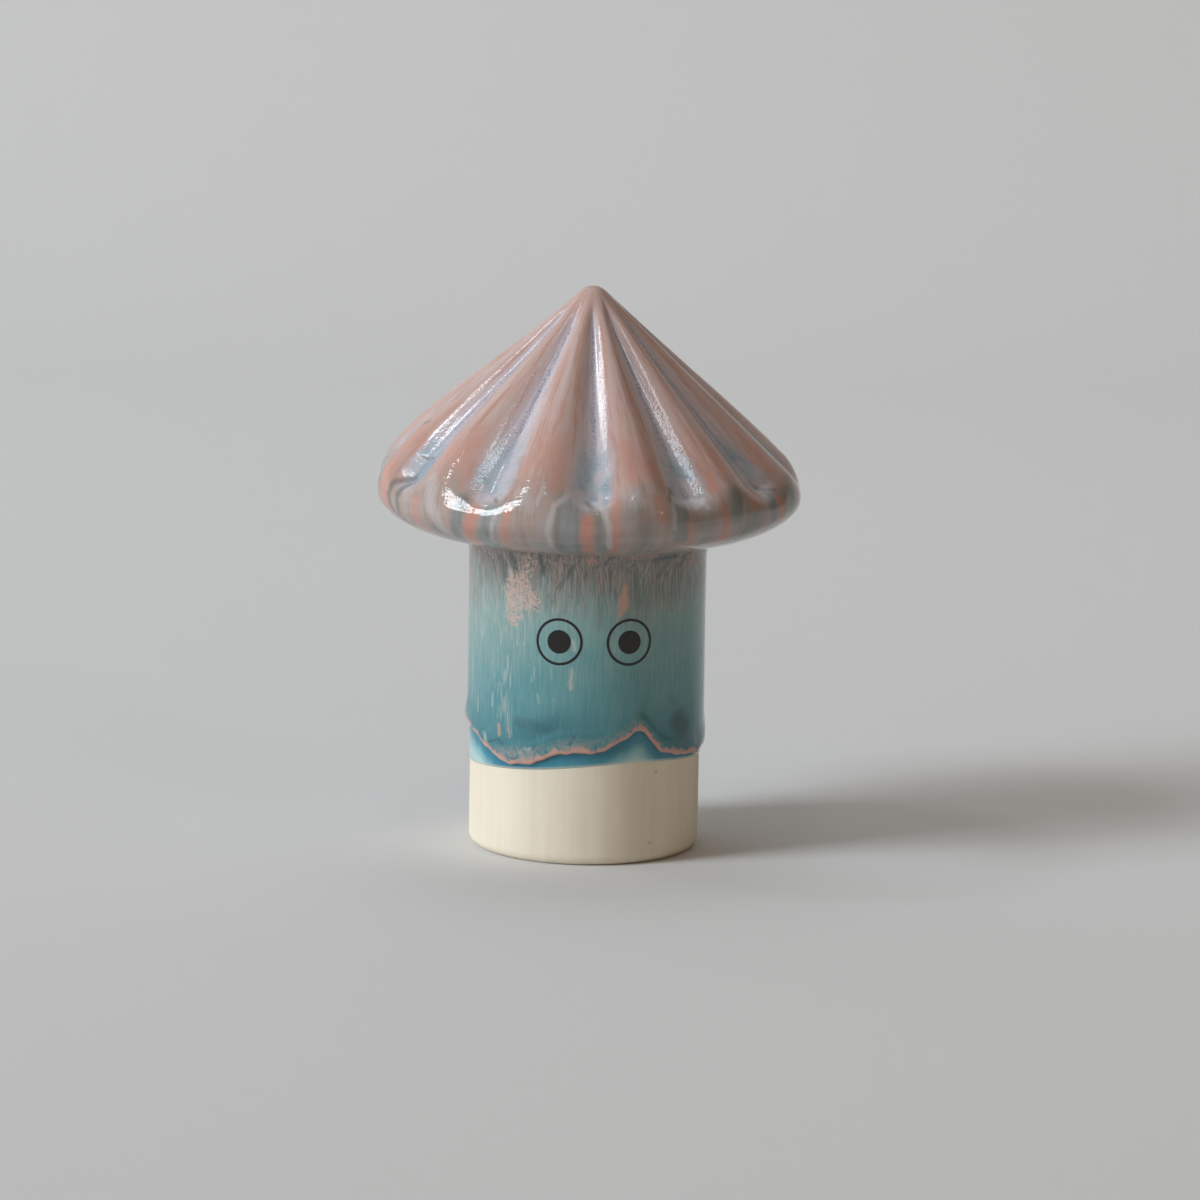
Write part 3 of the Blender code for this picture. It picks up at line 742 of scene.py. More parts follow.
# Azimuth in degrees, half width in degrees, start and end above the edge and amount of the dark pools.
POOLS = (
    (-20, 18, 3.8 * MM, 10.0 * MM, 0.55),
    (56, 15, 0.5 * MM, 9.0 * MM, 0.65),
    (150, 25, 3.0 * MM, 9.0 * MM, 0.5),
)
POOL_FADE = 1.0 * MM


def patch_round(middle, half_width):
    return np.exp(-(angle_from(middle) / half_width) ** 2)


blush = np.zeros_like(coat_radius)
for middle, at, half_width, half_length, amount in BLUSHES:
    away = (angle_from(middle) / half_width) ** 2 + ((coat_height - at) / half_length) ** 2
    blush += amount * np.exp(-away)
veil_and_sheen = np.full(STEPS, VEIL_EVERYWHERE)
for middle, half_width, amount in VEILS_AND_SHEEN:
    veil_and_sheen += amount * patch_round(middle, half_width)
veil_and_sheen = veil_and_sheen * (VEIL_LEAST + (1 - VEIL_LEAST) * smooth(VEIL_LOW, VEIL_HIGH, coat_height))
belt = sum(amount * patch_round(middle, half_width) for middle, half_width, amount in BELTS)
belt = belt * (1 - smooth(BELT_FULL, BELT_END, above))
pool = np.zeros_like(coat_radius)
for middle, half_width, first, last, amount in POOLS:
    span = smooth(first, first + POOL_FADE, above) * (1 - smooth(first + POOL_FADE, last, above))
    pool += amount * span * patch_round(middle, half_width)
notes = {"above_edge": above / MM, "blush": blush, "veil_and_sheen": veil_and_sheen, "belt": belt, "pool": pool}
print("soft patches:", ", ".join(notes))

# %% [markdown]
# The other marks are narrow: milky drips, dark stains and salmon tears, which run down with the glaze.
# Each is drawn by the function above as a short line, and the skin of the second coat is then made with
# all its attributes.

# %% Second coat: drips, stains and tears
# Half width in millimetres, amount, and places of azimuth and height.
DRIPS = (
    (0.3, 0.8, (-62.2, 41.5), (-60.8, 37.8)), (0.25, 0.7, (-47, 41.8), (-45.2, 37.9)),
    (0.25, 0.7, (-34.8, 41), (-34.8, 38)), (0.25, 0.7, (-30.8, 42.8), (-31, 38.4)),
    (0.45, 1.0, (-40.2, 50.6), (-39.5, 49.2)), (0.6, 0.5, (-58.5, 43.8), (-59, 38.9)),
    (0.25, 0.8, (-43.8, 53.6), (-40.8, 51.6), (-40.2, 50.6)),
    (0.35, 0.6, (-52.2, 52.8), (-49.2, 51), (-48.2, 49)), (0.4, 0.5, (-65.2, 52.8), (-66.2, 48)),
    (0.35, 0.9, (-6.2, 39.5), (-5.5, 37.9)), (0.3, 0.5, (-22, 50.7), (-21.8, 48)),
    (0.3, 0.4, (-6.2, 52.1), (-7, 47.1)), (0.45, 0.8, (-7.5, 34.6), (-6.8, 31.2)),
    (0.3, 0.6, (-24.5, 34.6), (-26.3, 32)), (0.25, 0.6, (-23, 30), (-22.5, 28.4)),
    (0.3, 0.7, (-50.5, 28.8), (-51.2, 26.6)), (0.3, 0.6, (-63.5, 29.4), (-63.8, 24.9)),
    (0.55, 0.6, (-41.2, 35.6), (-39.8, 33.8), (-41.8, 31.8)), (0.5, 0.5, (-44.8, 30.8), (-48, 30.4)),
    (0.5, 0.5, (-71, 33.8), (-72, 26.4)), (1.3, 0.5, (-44.8, 29.6), (-42.2, 27), (-45.2, 25.7)),
    (0.6, 0.7, (-56.5, 21.3), (-53.5, 20.1)), (0.3, 0.5, (-37.5, 33.8), (-38.8, 30.9)),
    (0.3, 0.4, (-17, 35.4), (-16.2, 32.6)), (0.3, 0.4, (-15, 29.2), (-15, 26.6)),
    (0.9, 0.5, (-40, 25.6), (-39, 22.4)), (0.35, 0.7, (-33.2, 19), (-30, 20), (-26.3, 20.2)),
    (0.25, 0.6, (26, 49.4), (28.5, 51.5), (32, 52.8)), (0.25, 0.6, (28, 48.1), (29.8, 50.4), (32.8, 52)),
    (0.25, 0.5, (36.8, 52.6), (39.2, 47.2), (38, 44.6)), (0.25, 0.5, (21.8, 50.4), (23.2, 45.8)),
    (0.25, 0.5, (7.8, 51.2), (9, 46)), (0.25, 0.4, (39.5, 43.7), (41.2, 40.4)),
    (0.25, 0.4, (15, 39.9), (14, 37.5)),
)
STAINS = (
    (0.9, 0.6, (-46.2, 52.7), (-43.5, 49.2)), (0.7, 0.7, (-38.8, 53.7), (-35.8, 50.2)),
    (0.4, 0.8, (-22, 54.1), (-22, 50.7)), (0.5, 0.5, (-7.3, 52.2), (-13.8, 48.6)),
    (0.6, 0.7, (33.2, 53.4), (44.8, 53.6)), (0.5, 0.6, (40.2, 52.6), (36.2, 50.1)),
    (0.5, 0.6, (51.2, 53.1), (50.5, 51.7)), (0.9, 0.4, (24.2, 51), (25, 45.8)),
    (2.0, 1.0, (51.0, 24.6), (55.0, 23.2)), (1.2, 0.35, (45.2, 28.7), (50.3, 27.2)),
    (1.2, 0.45, (-34, 24.6), (-18, 24)), (0.3, 0.9, (-24, 20.6), (-22, 19.7), (-19, 19.2)),
    (0.4, 0.8, (-35.2, 19.8), (-36, 18.5), (-32.5, 17.4)), (0.3, 0.7, (-6.2, 21.9), (-5.2, 22.8)),
    (0.3, 0.7, (0.2, 21.2), (2.5, 20.4)), (0.3, 0.6, (-52.5, 20), (-45, 21), (-41.8, 20.2)),
)
TEARS = (
    (0.95, 1.0, (17.8, 47.0), (17, 45.6)), (0.55, 1.0, (18.3, 48.8), (17.8, 47.0)),
    (0.6, 0.8, (16.6, 45.2), (15.5, 44.2)), (0.4, 0.8, (-45.5, 23.5), (-45, 21.8)),
    (0.3, 0.5, (-39.8, 23.2), (-38.2, 21.6)), (0.9, 0.5, (59, 53.7), (59.3, 51.7)),
    (0.6, 0.5, (17.5, 54.1), (33.2, 54.2)), (0.7, 0.9, (25.2, 23.8), (28.2, 23.9)),
    (0.7, 0.7, (0.8, 53.4), (2.5, 53.8)),
)
# Of each kind on the sides and back: count, half widths, amounts, starts and reach.
RUN_MARKS = {
    "drips": (DRIPS, (26, (0.25, 0.6), (0.3, 0.9), (22, 48), 5.0)),
    "stains": (STAINS, (14, (0.4, 0.9), (0.15, 0.45), (22, 48), 6.0)),
    "tears": (TEARS, (5, (0.4, 0.8), (0.3, 0.7), (40, 48), 3.0)),
}

for kind, (front, back_marks) in RUN_MARKS.items():
    notes[kind] = marks([*front, *scattered(*back_marks)], coat_radius, coat_height)
skin("stalk_run_coat", coat_radius, coat_height, run_glaze, "stalk_run_glaze", notes)

# %% [markdown]
# The cap is the hardest form: a cone with twelve round ridges, pressed in a mould. Its outline comes
# first, as a tip arc, a straight cone, a rim arc and a rounded underside. One function gives it at any
# inset, for the coat's outside, the coat's inside and the clay, so that the three nest as on the real
# piece.

# %% Cap outline
RIM_HEIGHT = 62.6 * MM
RIM_ROUND = 7.0 * MM
TIP_ROUND = 3.2 * MM
UNDERSIDE_POWER = 1.95
SEAT_CLEARANCE = 0.25 * MM
# Points in the tip, the cone, the rim and the underside, of a skin that shows and of one that does not.
SHOWN_COUNTS = (14, 80, 40, 40)
HIDDEN_COUNTS = (6, 40, 20, 16)


def cap_outline(inset, tip_count, cone_count, rim_count, under_count):
    top, tip, radius, rim = HEIGHT - inset, TIP_ROUND - inset, CAP_RADIUS - inset, RIM_ROUND - inset
    across, down = radius - rim, top - tip - RIM_HEIGHT
    slope = math.atan2(down, across) + math.asin((tip - rim) / math.hypot(across, down))
    a = np.linspace(0, slope, tip_count, endpoint=False)
    tip_arc = np.stack([tip * np.sin(a), top - tip + tip * np.cos(a)], axis=1)
    start = np.array([tip * math.sin(slope), top - tip + tip * math.cos(slope)])
    end = np.array([radius - rim + rim * math.sin(slope), RIM_HEIGHT + rim * math.cos(slope)])
    t = np.linspace(0, 1, cone_count, endpoint=False)[:, None]
    cone = start + (end - start) * t
    a = np.linspace(slope, np.pi / 2, rim_count, endpoint=False)
    rim_arc = np.stack([radius - rim + rim * np.sin(a), RIM_HEIGHT + rim * np.cos(a)], axis=1)
    a = np.linspace(0, np.pi / 2, under_count)
    seat = RUN_RADIUS + SEAT_CLEARANCE
    u = np.abs(np.cos(a)) ** (2 / UNDERSIDE_POWER)
    v = np.sin(a) ** (2 / UNDERSIDE_POWER)
    drop = RIM_HEIGHT - SEAT_HEIGHT - inset
    under_side = np.stack([seat + (radius - seat) * u, RIM_HEIGHT - drop * v], axis=1)
    line = np.vstack([tip_arc, cone, rim_arc, under_side])
    way = np.concatenate([[0.0], np.cumsum(np.hypot(*np.diff(line, axis=0).T))])
    widest = tip_count + cone_count + rim_count
    return line, way, way[widest], slope


outline, way, widest, slope = cap_outline(0.0, *SHOWN_COUNTS)
slant = way / MM
print("slope in degrees", round(math.degrees(slope), 1))
print("widest at", round(widest / MM, 1), "mm of", round(slant[-1], 1))

# %% [markdown]
# The flutes start below a smooth tip, deepen down the cone and run out over the rim, with round ridges
# and rounded grooves. Twelve cut-out wedges would leave sharp borders, so each point moves in along the
# cone's normal by a formula: a softened sine round the axis times a share that grows down the slant. The
# same step swells the cone a little, more on one side, as a hand-pressed one is.

# %% Flutes
FLUTES = 12
FLUTE_DRIFT = math.radians(1.4)
DRIFT_WAVES = 3
FLUTE_DEPTH = 2.8 * MM
FLUTE_GROWTH = 0.75
FLUTE_SOFTNESS = 0.30
FLUTE_START, FLUTE_FULL, FLUTE_FADE, FLUTE_END = 0.07, 0.22, 0.935, 1.03
CONE_BULGE = 0.95 * MM
CONE_LEAN = 1.0 * MM
LEAN_SIDE = math.radians(-135.0)
FULLNESS_POWER = 2.1
FULLNESS_EDGE = 1.1

drift = -FLUTE_DRIFT * np.cos(DRIFT_WAVES * AZIMUTH)
ridge = np.sin(FLUTES * (AZIMUTH + drift) / 2)
highest = math.hypot(1.0, FLUTE_SOFTNESS)
groove = (highest - np.hypot(ridge, FLUTE_SOFTNESS)) / (highest - FLUTE_SOFTNESS)


def fluted(line, way, widest):
    radius, height = line[:, :1], line[:, 1:]
    share = radius / CAP_RADIUS
    # Past the widest circle the share goes on growing, so that the flutes die out evenly.
    share = np.where(way[:, None] > widest, 2 * radius.max() / CAP_RADIUS - share, share)
    shown = smooth(FLUTE_START, FLUTE_FULL, share) * (1 - smooth(FLUTE_FADE, FLUTE_END, share))
    weight = shown * np.clip(share, 0, 1) ** FLUTE_GROWTH
    along = np.clip(way / widest, 0, 1)
    full = np.clip(np.sin(np.pi * along ** FULLNESS_POWER), 0, None) ** FULLNESS_EDGE
    swell = full[:, None] * (CONE_BULGE + CONE_LEAN * np.cos(AZIMUTH - LEAN_SIDE))
    depth = FLUTE_DEPTH * weight * groove - swell
    return radius - depth * math.sin(slope), height - depth * math.cos(slope), shown * groove


print("flutes", FLUTES, "at", round(360 / FLUTES, 1), "degrees")

# %% [markdown]
# Two glazes lie on the cap. Dusty pink stays on the ridges, thin and rather dry, and a grey-blue one runs
# into the grooves, where it is thick and glossy. It pools where they end and runs on over the rim, with
# flames of salmon between the pools. The shader reads how deep in a groove and how far down the slant a
# point is. Noise drawn out straight down would cut across the slant, so its streaks are looked up by the
# way out from the axis with a little of the slant added, and they fan out as the cone does.

# %% Pink and blue cap glaze: patterns
# Millimetres, as the slant is. The way out from the axis is 1 long, and stands for the rim's radius.
RIM_RADIUS = 36.0
STREAK_WIDTH, FINE_WIDTH, POND_WIDTH, FLAME_WIDTH = 2.4, 0.55, 5.0, 2.2
# How much longer a streak is than wide, and how far clouds shift the borders down the slant.
STREAK_STRETCH = 7.0
BORDER_SHIFT = 12.0
CAP_CLOUD_SIZE = 5.0 * MM
FLECK_SIZE = 0.3 * MM

cap_glaze, add, cap_shader = new_material("pink_and_blue_glaze_dipped")
place = add("TexCoord").outputs["Object"]
deep, phase, along, flames_at, ponds_at, arches_at, darks_at = (
    add("Attribute", attribute_name=kind)
    for kind in ("groove", "between_ridges", "slant", "flames", "ponds", "arches", "darks"))
flat = add("VectorMath", {0: place, 1: (1.0, 1.0, 0.0)}, operation="MULTIPLY")
ray = add("VectorMath", {0: flat}, operation="NORMALIZE")
lift = add("Math", {0: along, 1: 1 / (RIM_RADIUS * STREAK_STRETCH)}, operation="MULTIPLY")
flow = add("VectorMath", {0: ray, 1: add("CombineXYZ", {2: lift})}, operation="ADD")
streak, fine, wide, lick = (
    add("TexNoise", {"Vector": flow, "Scale": RIM_RADIUS / width, "Detail": detail, "Distortion": distortion})
    for width, detail, distortion in (
        (STREAK_WIDTH, 2.0, 0.3), (FINE_WIDTH, 3.0, 0.0), (POND_WIDTH, 2.0, 0.8), (FLAME_WIDTH, 1.0, 0.4)))
cloud = add("TexNoise", {"Vector": place, "Scale": 1 / CAP_CLOUD_SIZE, "Detail": 3.0, "Distortion": 0.6})
fleck = add("TexNoise", {"Vector": place, "Scale": 1 / FLECK_SIZE, "Detail": 2.0})
mixed = add("Mix", {0: 0.35, 2: streak, 3: fine}, data_type="FLOAT")
shaken = add("Math", {0: cloud, 1: BORDER_SHIFT, 2: along}, operation="MULTIPLY_ADD")
print("patterns:", len(cap_glaze.node_tree.nodes), "nodes so far")

# %% [markdown]
# Dusty pink covers the cone, paler and more salmon by turns, and it is salmon at the toes, where the
# ridges end. Streaks pick the shade, and the toes are where a point is both on a ridge and far down the
# slant.

# %% Cap glaze: pink cone
# Millimetres down the slant.
TOE_START, TOE_FULL = 37.0, 45.0

cone = add("ValToRGB", {"Fac": mixed}, stops=(
    (0.34, "#B48D82"), (0.45, "#BC9A90"), (0.54, "#C2A8A0"), (0.66, "#BCABA8")))
crest = add("MapRange", {0: phase, 1: 0.05, 2: 0.45, 3: 1.0, 4: 0.0})
toe = add("MapRange", {0: shaken, 1: TOE_START, 2: TOE_FULL, 3: 0.0, 4: 0.8})
warm = add("MapRange", {0: streak, 1: 0.42, 2: 0.56})
crested = add("Math", {0: crest, 1: toe}, operation="MULTIPLY")
toed = add("Math", {0: crested, 1: warm}, operation="MULTIPLY")
coned = add("Mix", {0: toed, 6: cone, 7: "#BE8D7F"}, data_type="RGBA")
print("cone:", len(cap_glaze.node_tree.nodes), "nodes so far")

# %% [markdown]
# The rim is taupe, with grey-green ponds, light arches round some of them, and soft salmon flames. Each
# kind is a mark of the mesh with noise added to its border, as on the stalk. The flames lick up past the
# rim onto the cone.

# %% Cap glaze: rim
# Millimetres down the slant.
RIM_START, RIM_FULL = 48.0, 55.0

taupe = add("ValToRGB", {"Fac": mixed}, stops=((0.35, "#A48E86"), (0.5, "#AB9A93"), (0.65, "#AA9E9C")))
pond_edge = add("Math", {0: wide, 1: 0.8, 2: ponds_at}, operation="MULTIPLY_ADD")
pond = add("MapRange", {0: pond_edge, 1: 0.45, 2: 1.25, 3: 0.0, 4: 0.9})
green = add("ValToRGB", {"Fac": streak}, stops=((0.38, "#7C7F7B"), (0.6, "#8F9496")))
greyed = add("Mix", {0: pond, 6: taupe, 7: green}, data_type="RGBA")
burning = add("Math", {0: lick, 1: 0.8, 2: flames_at}, operation="MULTIPLY_ADD")
flame = add("MapRange", {0: burning, 1: 0.55, 2: 1.4, 3: 0.0, 4: 0.95})
burnt = add("Mix", {0: flame, 6: greyed, 7: "#C58D7E"}, data_type="RGBA")
arched = add("Math", {0: fine, 1: 0.7, 2: arches_at}, operation="MULTIPLY_ADD")
arch = add("MapRange", {0: arched, 1: 0.55, 2: 1.3, 3: 0.0, 4: 0.55})
rim = add("Mix", {0: arch, 6: burnt, 7: "#BDB8B8"}, data_type="RGBA")
lowness = add("MapRange", {0: shaken, 1: RIM_START, 2: RIM_FULL})
marked = add("Math", {0: flame, 1: lowness}, operation="MAXIMUM")
ground = add("Mix", {0: marked, 6: coned, 7: rim}, data_type="RGBA")
print("rim:", len(cap_glaze.node_tree.nodes), "nodes so far")

# %% [markdown]
# The grooves hold a lavender glaze with a broken slate line at the bottom, and it fans out to a pale blue
# pool where each groove ends. How deep a point lies gives the glaze and its line, and the slant gives the
# pool.

# %% Cap glaze: grooves and their pools
# Millimetres down the slant.
FAN_START, FAN_FULL = 33.0, 41.0
FAN_FADE, FAN_END = 50.0, 54.0

valley_edge = add("Math", {0: streak, 1: 0.5, 2: deep}, operation="MULTIPLY_ADD")
valley = add("MapRange", {0: valley_edge, 1: 0.54, 2: 1.08, 3: 0.0, 4: 0.85})
lavender = add("ValToRGB", {"Fac": fine}, stops=((0.35, "#BDB9C5"), (0.65, "#D0C8CE")))
valleyed = add("Mix", {0: valley, 6: ground, 7: lavender}, data_type="RGBA")
slate_edge = add("Math", {0: fleck, 1: 0.25, 2: deep}, operation="MULTIPLY_ADD")
slate = add("MapRange", {0: slate_edge, 1: 1.08, 2: 1.15, 3: 0.0, 4: 0.7})
slated = add("Mix", {0: slate, 6: valleyed, 7: "#6C7690"}, data_type="RGBA")
fan_start = add("MapRange", {0: along, 1: FAN_START, 2: FAN_FULL})
fan_stop = add("MapRange", {0: shaken, 1: FAN_FADE, 2: FAN_END, 3: 1.0, 4: 0.0})
spread = add("Math", {0: cloud, 1: 0.8, 2: phase}, operation="MULTIPLY_ADD")
fan = add("MapRange", {0: spread, 1: 0.75, 2: 1.05, 3: 0.0, 4: 0.9})
ended = add("Math", {0: fan_start, 1: fan_stop}, operation="MULTIPLY")
fanned = add("Math", {0: ended, 1: fan}, operation="MULTIPLY")
blue = add("ValToRGB", {"Fac": cloud}, stops=((0.38, "#8B9FAE"), (0.5, "#A3B0BA"), (0.62, "#BBB6BD")))
ponded = add("Mix", {0: fanned, 6: slated, 7: blue}, data_type="RGBA")
specks = add("MapRange", {0: fleck, 1: 0.64, 2: 0.72, 3: 0.0, 4: 0.5})
specked = add("Math", {0: specks, 1: valley}, operation="MULTIPLY")
flecked = add("Mix", {0: specked, 6: ponded, 7: "#565C6C"}, data_type="RGBA")
print("grooves:", len(cap_glaze.node_tree.nodes), "nodes so far")

# %% [markdown]
# Where the two glazes met there are dark strokes, and the light arches show again where they cross a
# pool. These lie on top, so they are mixed in last.

# %% Cap glaze: strokes
inked = add("Math", {0: fine, 1: 0.7, 2: darks_at}, operation="MULTIPLY_ADD")
inky = add("MapRange", {0: inked, 1: 0.55, 2: 1.2, 3: 0.0, 4: 0.65})
stroked = add("Mix", {0: inky, 6: flecked, 7: "#5C625F"}, data_type="RGBA")
laced = add("Mix", {0: arch, 6: stroked, 7: "#BDB8B8"}, data_type="RGBA")
print("strokes:", len(cap_glaze.node_tree.nodes), "nodes so far")

# %% [markdown]
# Thin glaze on the ridges is drier than the thick glaze in the grooves and on the rim, so the roughness
# follows the same masks. The skin has the dimples of an orange peel and a ripple along the streaks. On the
# left of the rim the glaze crept together in shallow level rolls. All three are far too shallow to model,
# so bump gives them.

# %% Cap glaze: gloss and relief
PEEL_SIZE = 0.45 * MM
# Millimetres, as the slant is.
ROLL_LENGTH, ROLL_WIDTH = 6.0, 1.3

wet = add("Math", {0: valley, 1: lowness}, operation="MAXIMUM")
roughness = add("MapRange", {0: wet, 1: 0.0, 2: 0.8, 3: 0.10, 4: 0.06})
peel = add("TexNoise", {"Vector": place, "Scale": 1 / PEEL_SIZE, "Detail": 1.0})
dimples = add("Bump", {"Height": peel, "Strength": 0.42, "Distance": 0.05 * MM})
rippled = add("Bump", {"Height": streak, "Strength": 0.16, "Distance": 0.25 * MM, "Normal": dimples})
roll_lift = add("Math", {0: along, 1: ROLL_LENGTH / (RIM_RADIUS * ROLL_WIDTH)}, operation="MULTIPLY")
roll_way = add("VectorMath", {0: ray, 1: add("CombineXYZ", {2: roll_lift})}, operation="ADD")
rolls = add("TexNoise", {"Vector": roll_way, "Scale": RIM_RADIUS / ROLL_LENGTH, "Detail": 2.0})
ray_x = add("SeparateXYZ", {0: ray}).outputs["X"]
leftward = add("MapRange", {0: ray_x, 1: -0.25, 2: 0.0, 3: 1.0, 4: 0.0})
on_left_rim = add("Math", {0: lowness, 1: leftward}, operation="MULTIPLY")
rolled = add("Math", {0: rolls, 1: on_left_rim}, operation="MULTIPLY")
rolling = add("Bump", {"Height": rolled, "Strength": 0.8, "Distance": 0.22 * MM, "Normal": rippled})
fill(cap_shader, {"Base Color": laced, "Normal": rolling, "Roughness": roughness, "IOR": 1.52})
print("cap glaze:", len(cap_glaze.node_tree.nodes), "nodes in all")

# %% [markdown]
# The marks on the cap are flames, ponds, arches and dark strokes. They follow no rule either, so those in
# front are placed along the slant, with the same function as on the stalk, and those behind by the
# seeded choice.

# %% Marks on the cap
# Half width in millimetres, amount, and places of azimuth and millimetres down the slant.
FLAMES = (
    (1.2, 1.0, (-31.8, 50.4), (-33.5, 54), (-37, 61)), (0.7, 0.8, (-22, 50.6), (-23.5, 58)),
    (1.2, 0.5, (-22.5, 55), (-25, 61)), (0.5, 0.6, (-40.5, 49), (-41.8, 56)),
    (1.15, 1.0, (-0.2, 51), (0, 60)), (1.0, 0.8, (6.7, 43.5), (7, 50), (7.5, 60)),
    (0.9, 0.6, (19, 47.5), (19.7, 51)), (0.6, 0.5, (27.8, 51.5), (30, 59)),
    (0.8, 0.7, (38.5, 50), (41, 58)), (1.5, 0.8, (54, 45), (51, 50)), (0.8, 0.7, (63, 50), (66, 57)),
    (0.9, 0.8, (-38.5, 42), (-37, 46.5)), (1.3, 0.6, (-9.5, 42), (-9, 45)),
    (0.7, 1.0, (39, 43), (38, 46)), (2.2, 0.9, (-74, 47), (-72, 54)), (1.2, 1.0, (-60, 45), (-66, 47.5)),
    (1.0, 0.8, (-53, 51), (-54, 57)), (1.4, 0.7, (-70, 40), (-64, 45)),
)
PONDS = (
    (1.0, 1.0, (-36.3, 49), (-37.8, 54), (-42, 61)), (1.5, 1.0, (-27, 50), (-28, 54), (-31, 61)),
    (2.2, 1.0, (-5.5, 47), (-5.5, 60)), (1.3, 0.8, (3, 48.5), (4, 60)),
    (1.8, 0.5, (13, 45.5), (12.5, 50)), (1.5, 1.0, (25.5, 47.5), (25.5, 55)),
    (1.3, 0.9, (45, 45), (42.5, 52)), (1.1, 1.0, (62, 45), (59.5, 51), (59, 58)),
    (2.0, 0.5, (33, 49), (34, 58)), (1.5, 0.6, (-47, 56), (-50, 62)), (2.6, 0.8, (50, 53), (48, 60)),
    (2.4, 0.8, (70, 49), (72, 58)), (2.2, 0.6, (15, 53), (17, 60)),
)
ARCHES = (
    (0.55, 0.9, (-10.5, 58), (-10.3, 52), (-9.2, 49), (-6.5, 46.7), (-3.5, 45), (-1, 44.5)),
    (0.55, 0.9, (3.2, 44.5), (3.2, 48), (5.5, 51.6), (6, 58)),
    (0.4, 0.8, (24, 46.5), (23.3, 49), (23.5, 53)), (0.5, 0.8, (-25.5, 51), (-28, 58)),
    (0.5, 0.8, (27, 40.5), (31, 43.5), (34.5, 46), (33.5, 48), (34.5, 49.5)),
    (0.5, 0.6, (-12.5, 45), (-14, 49)), (0.5, 0.7, (56, 42), (60, 45), (63, 47)),
    (1.6, 0.7, (-48, 47), (-46.5, 51), (-43.5, 56)), (1.8, 0.45, (10.5, 45), (13, 48)),
    (1.4, 0.4, (-19, 47), (-16, 50)),
)
DARKS = (
    (0.6, 0.9, (24, 45), (23.2, 47.5)), (0.7, 0.7, (-0.5, 47), (0.8, 48.5)),
    (0.35, 0.8, (-56, 40.5), (-62, 42), (-66, 42.5)),
    (0.9, 0.8, (-62, 46.5), (-67, 49), (-69, 51.5), (-66, 55), (-61, 57)),
    (0.8, 0.8, (-61, 48), (-64, 51), (-63, 54)), (0.5, 0.7, (-82, 39), (-74, 37)),
    (0.5, 0.7, (60, 46), (64, 48)), (0.4, 0.7, (-27, 47.5), (-26, 48.5)),
)
# Of each kind on the sides and back: count, half widths, amounts, starts and reach.
CAP_MARKS = {
    "flames": (FLAMES, (22, (0.6, 1.5), (0.3, 0.9), (43, 50), 8.0)),
    "ponds": (PONDS, (20, (1.1, 2.4), (0.4, 1.0), (43, 50), 8.0)),
    "arches": (ARCHES, (14, (0.4, 0.6), (0.2, 0.6), (43, 50), 6.0)),
    "darks": (DARKS, (8, (0.3, 0.5), (0.2, 0.5), (43, 47), 6.0)),
}
print("marks in front:", {kind: len(front) for kind, (front, _) in CAP_MARKS.items()})

# %% [markdown]
# The coat on the cap is a closed shell: the fluted outline outside, and the same outline with an inset
# inside. Inside it needs fewer rings, because it never shows. Its attributes carry the marks, how deep in
# a groove a point is and how far down the slant it lies.

# %% Cap skin
COAT_INSIDE = 0.75 * MM

inner_line, inner_way, inner_widest, _ = cap_outline(COAT_INSIDE, *HIDDEN_COUNTS)
out_radius, out_height, out_groove = fluted(outline, way, widest)
in_radius, in_height, _ = (grid[::-1] for grid in fluted(inner_line, inner_way, inner_widest))
hidden = np.zeros_like(in_radius)
slant_grid = slant[:, None] * MM * np.ones(STEPS)
notes = {}
for kind, (front, back_marks) in CAP_MARKS.items():
    shown = marks([*front, *scattered(*back_marks)], out_radius, slant_grid)
    notes[kind] = np.vstack([shown, hidden])
notes["groove"] = np.vstack([out_groove, hidden])
notes["between_ridges"] = np.vstack([np.broadcast_to(groove, out_radius.shape), hidden])
notes["slant"] = np.vstack([np.broadcast_to(slant[:, None], out_radius.shape), hidden + slant[-1]])
cap_radius = np.vstack([out_radius, np.clip(in_radius, 0, None)])
cap_height = np.vstack([out_height, in_height])
skin("cap_coat", cap_radius, cap_height, cap_glaze, "cap_glaze", notes)

# %% [markdown]
# The clay of the cap is under the coat and shows only through the vent hole. It follows the same flutes
# outside, and inside it has a socket for the stalk and a plain hollow, as a slip-cast piece has.

# %% Clay cap
CLAY_INSET = 1.1 * MM
SOCKET_RADIUS = 20.0 * MM
SOCKET_ROOF = 58.2 * MM
HOLLOW_FLOOR = 61.0 * MM
HOLLOW_RADIUS = 30.6 * MM
HOLLOW_ROUND = 2.0 * MM
HOLLOW_TOP = 89.4 * MM
HOLLOW_STEPS = 6

clay_line, clay_way, clay_widest, _ = cap_outline(CLAY_INSET, *HIDDEN_COUNTS)
clay_radius, clay_height, _ = fluted(clay_line, clay_way, clay_widest)
socket = [(SOCKET_RADIUS, SEAT_HEIGHT + CLAY_INSET), (SOCKET_RADIUS, SOCKET_ROOF)]
socket += [(bore, SOCKET_ROOF), (bore, HOLLOW_FLOOR)]
corner_r, corner_z = HOLLOW_RADIUS - HOLLOW_ROUND, HOLLOW_FLOOR + HOLLOW_ROUND
hollow = arc(corner_r, corner_z, HOLLOW_ROUND, -90, 45, HOLLOW_STEPS) + [(0.0, HOLLOW_TOP)]
inside_line = np.array(socket + hollow)[:, :, None] * np.ones(STEPS)
clay_radius = np.vstack([clay_radius, inside_line[:, 0]])
skin("cap_clay", clay_radius, np.vstack([clay_height, inside_line[:, 1]]), foot_clay, "cap")

# %% [markdown]
# The ink of the eyes is a black transfer that was fired on over the glaze. Fired ink is smooth and a
# little less glossy than the glaze, and never quite black. Its grain is drawn coarser than real, so that
# it shows at all.

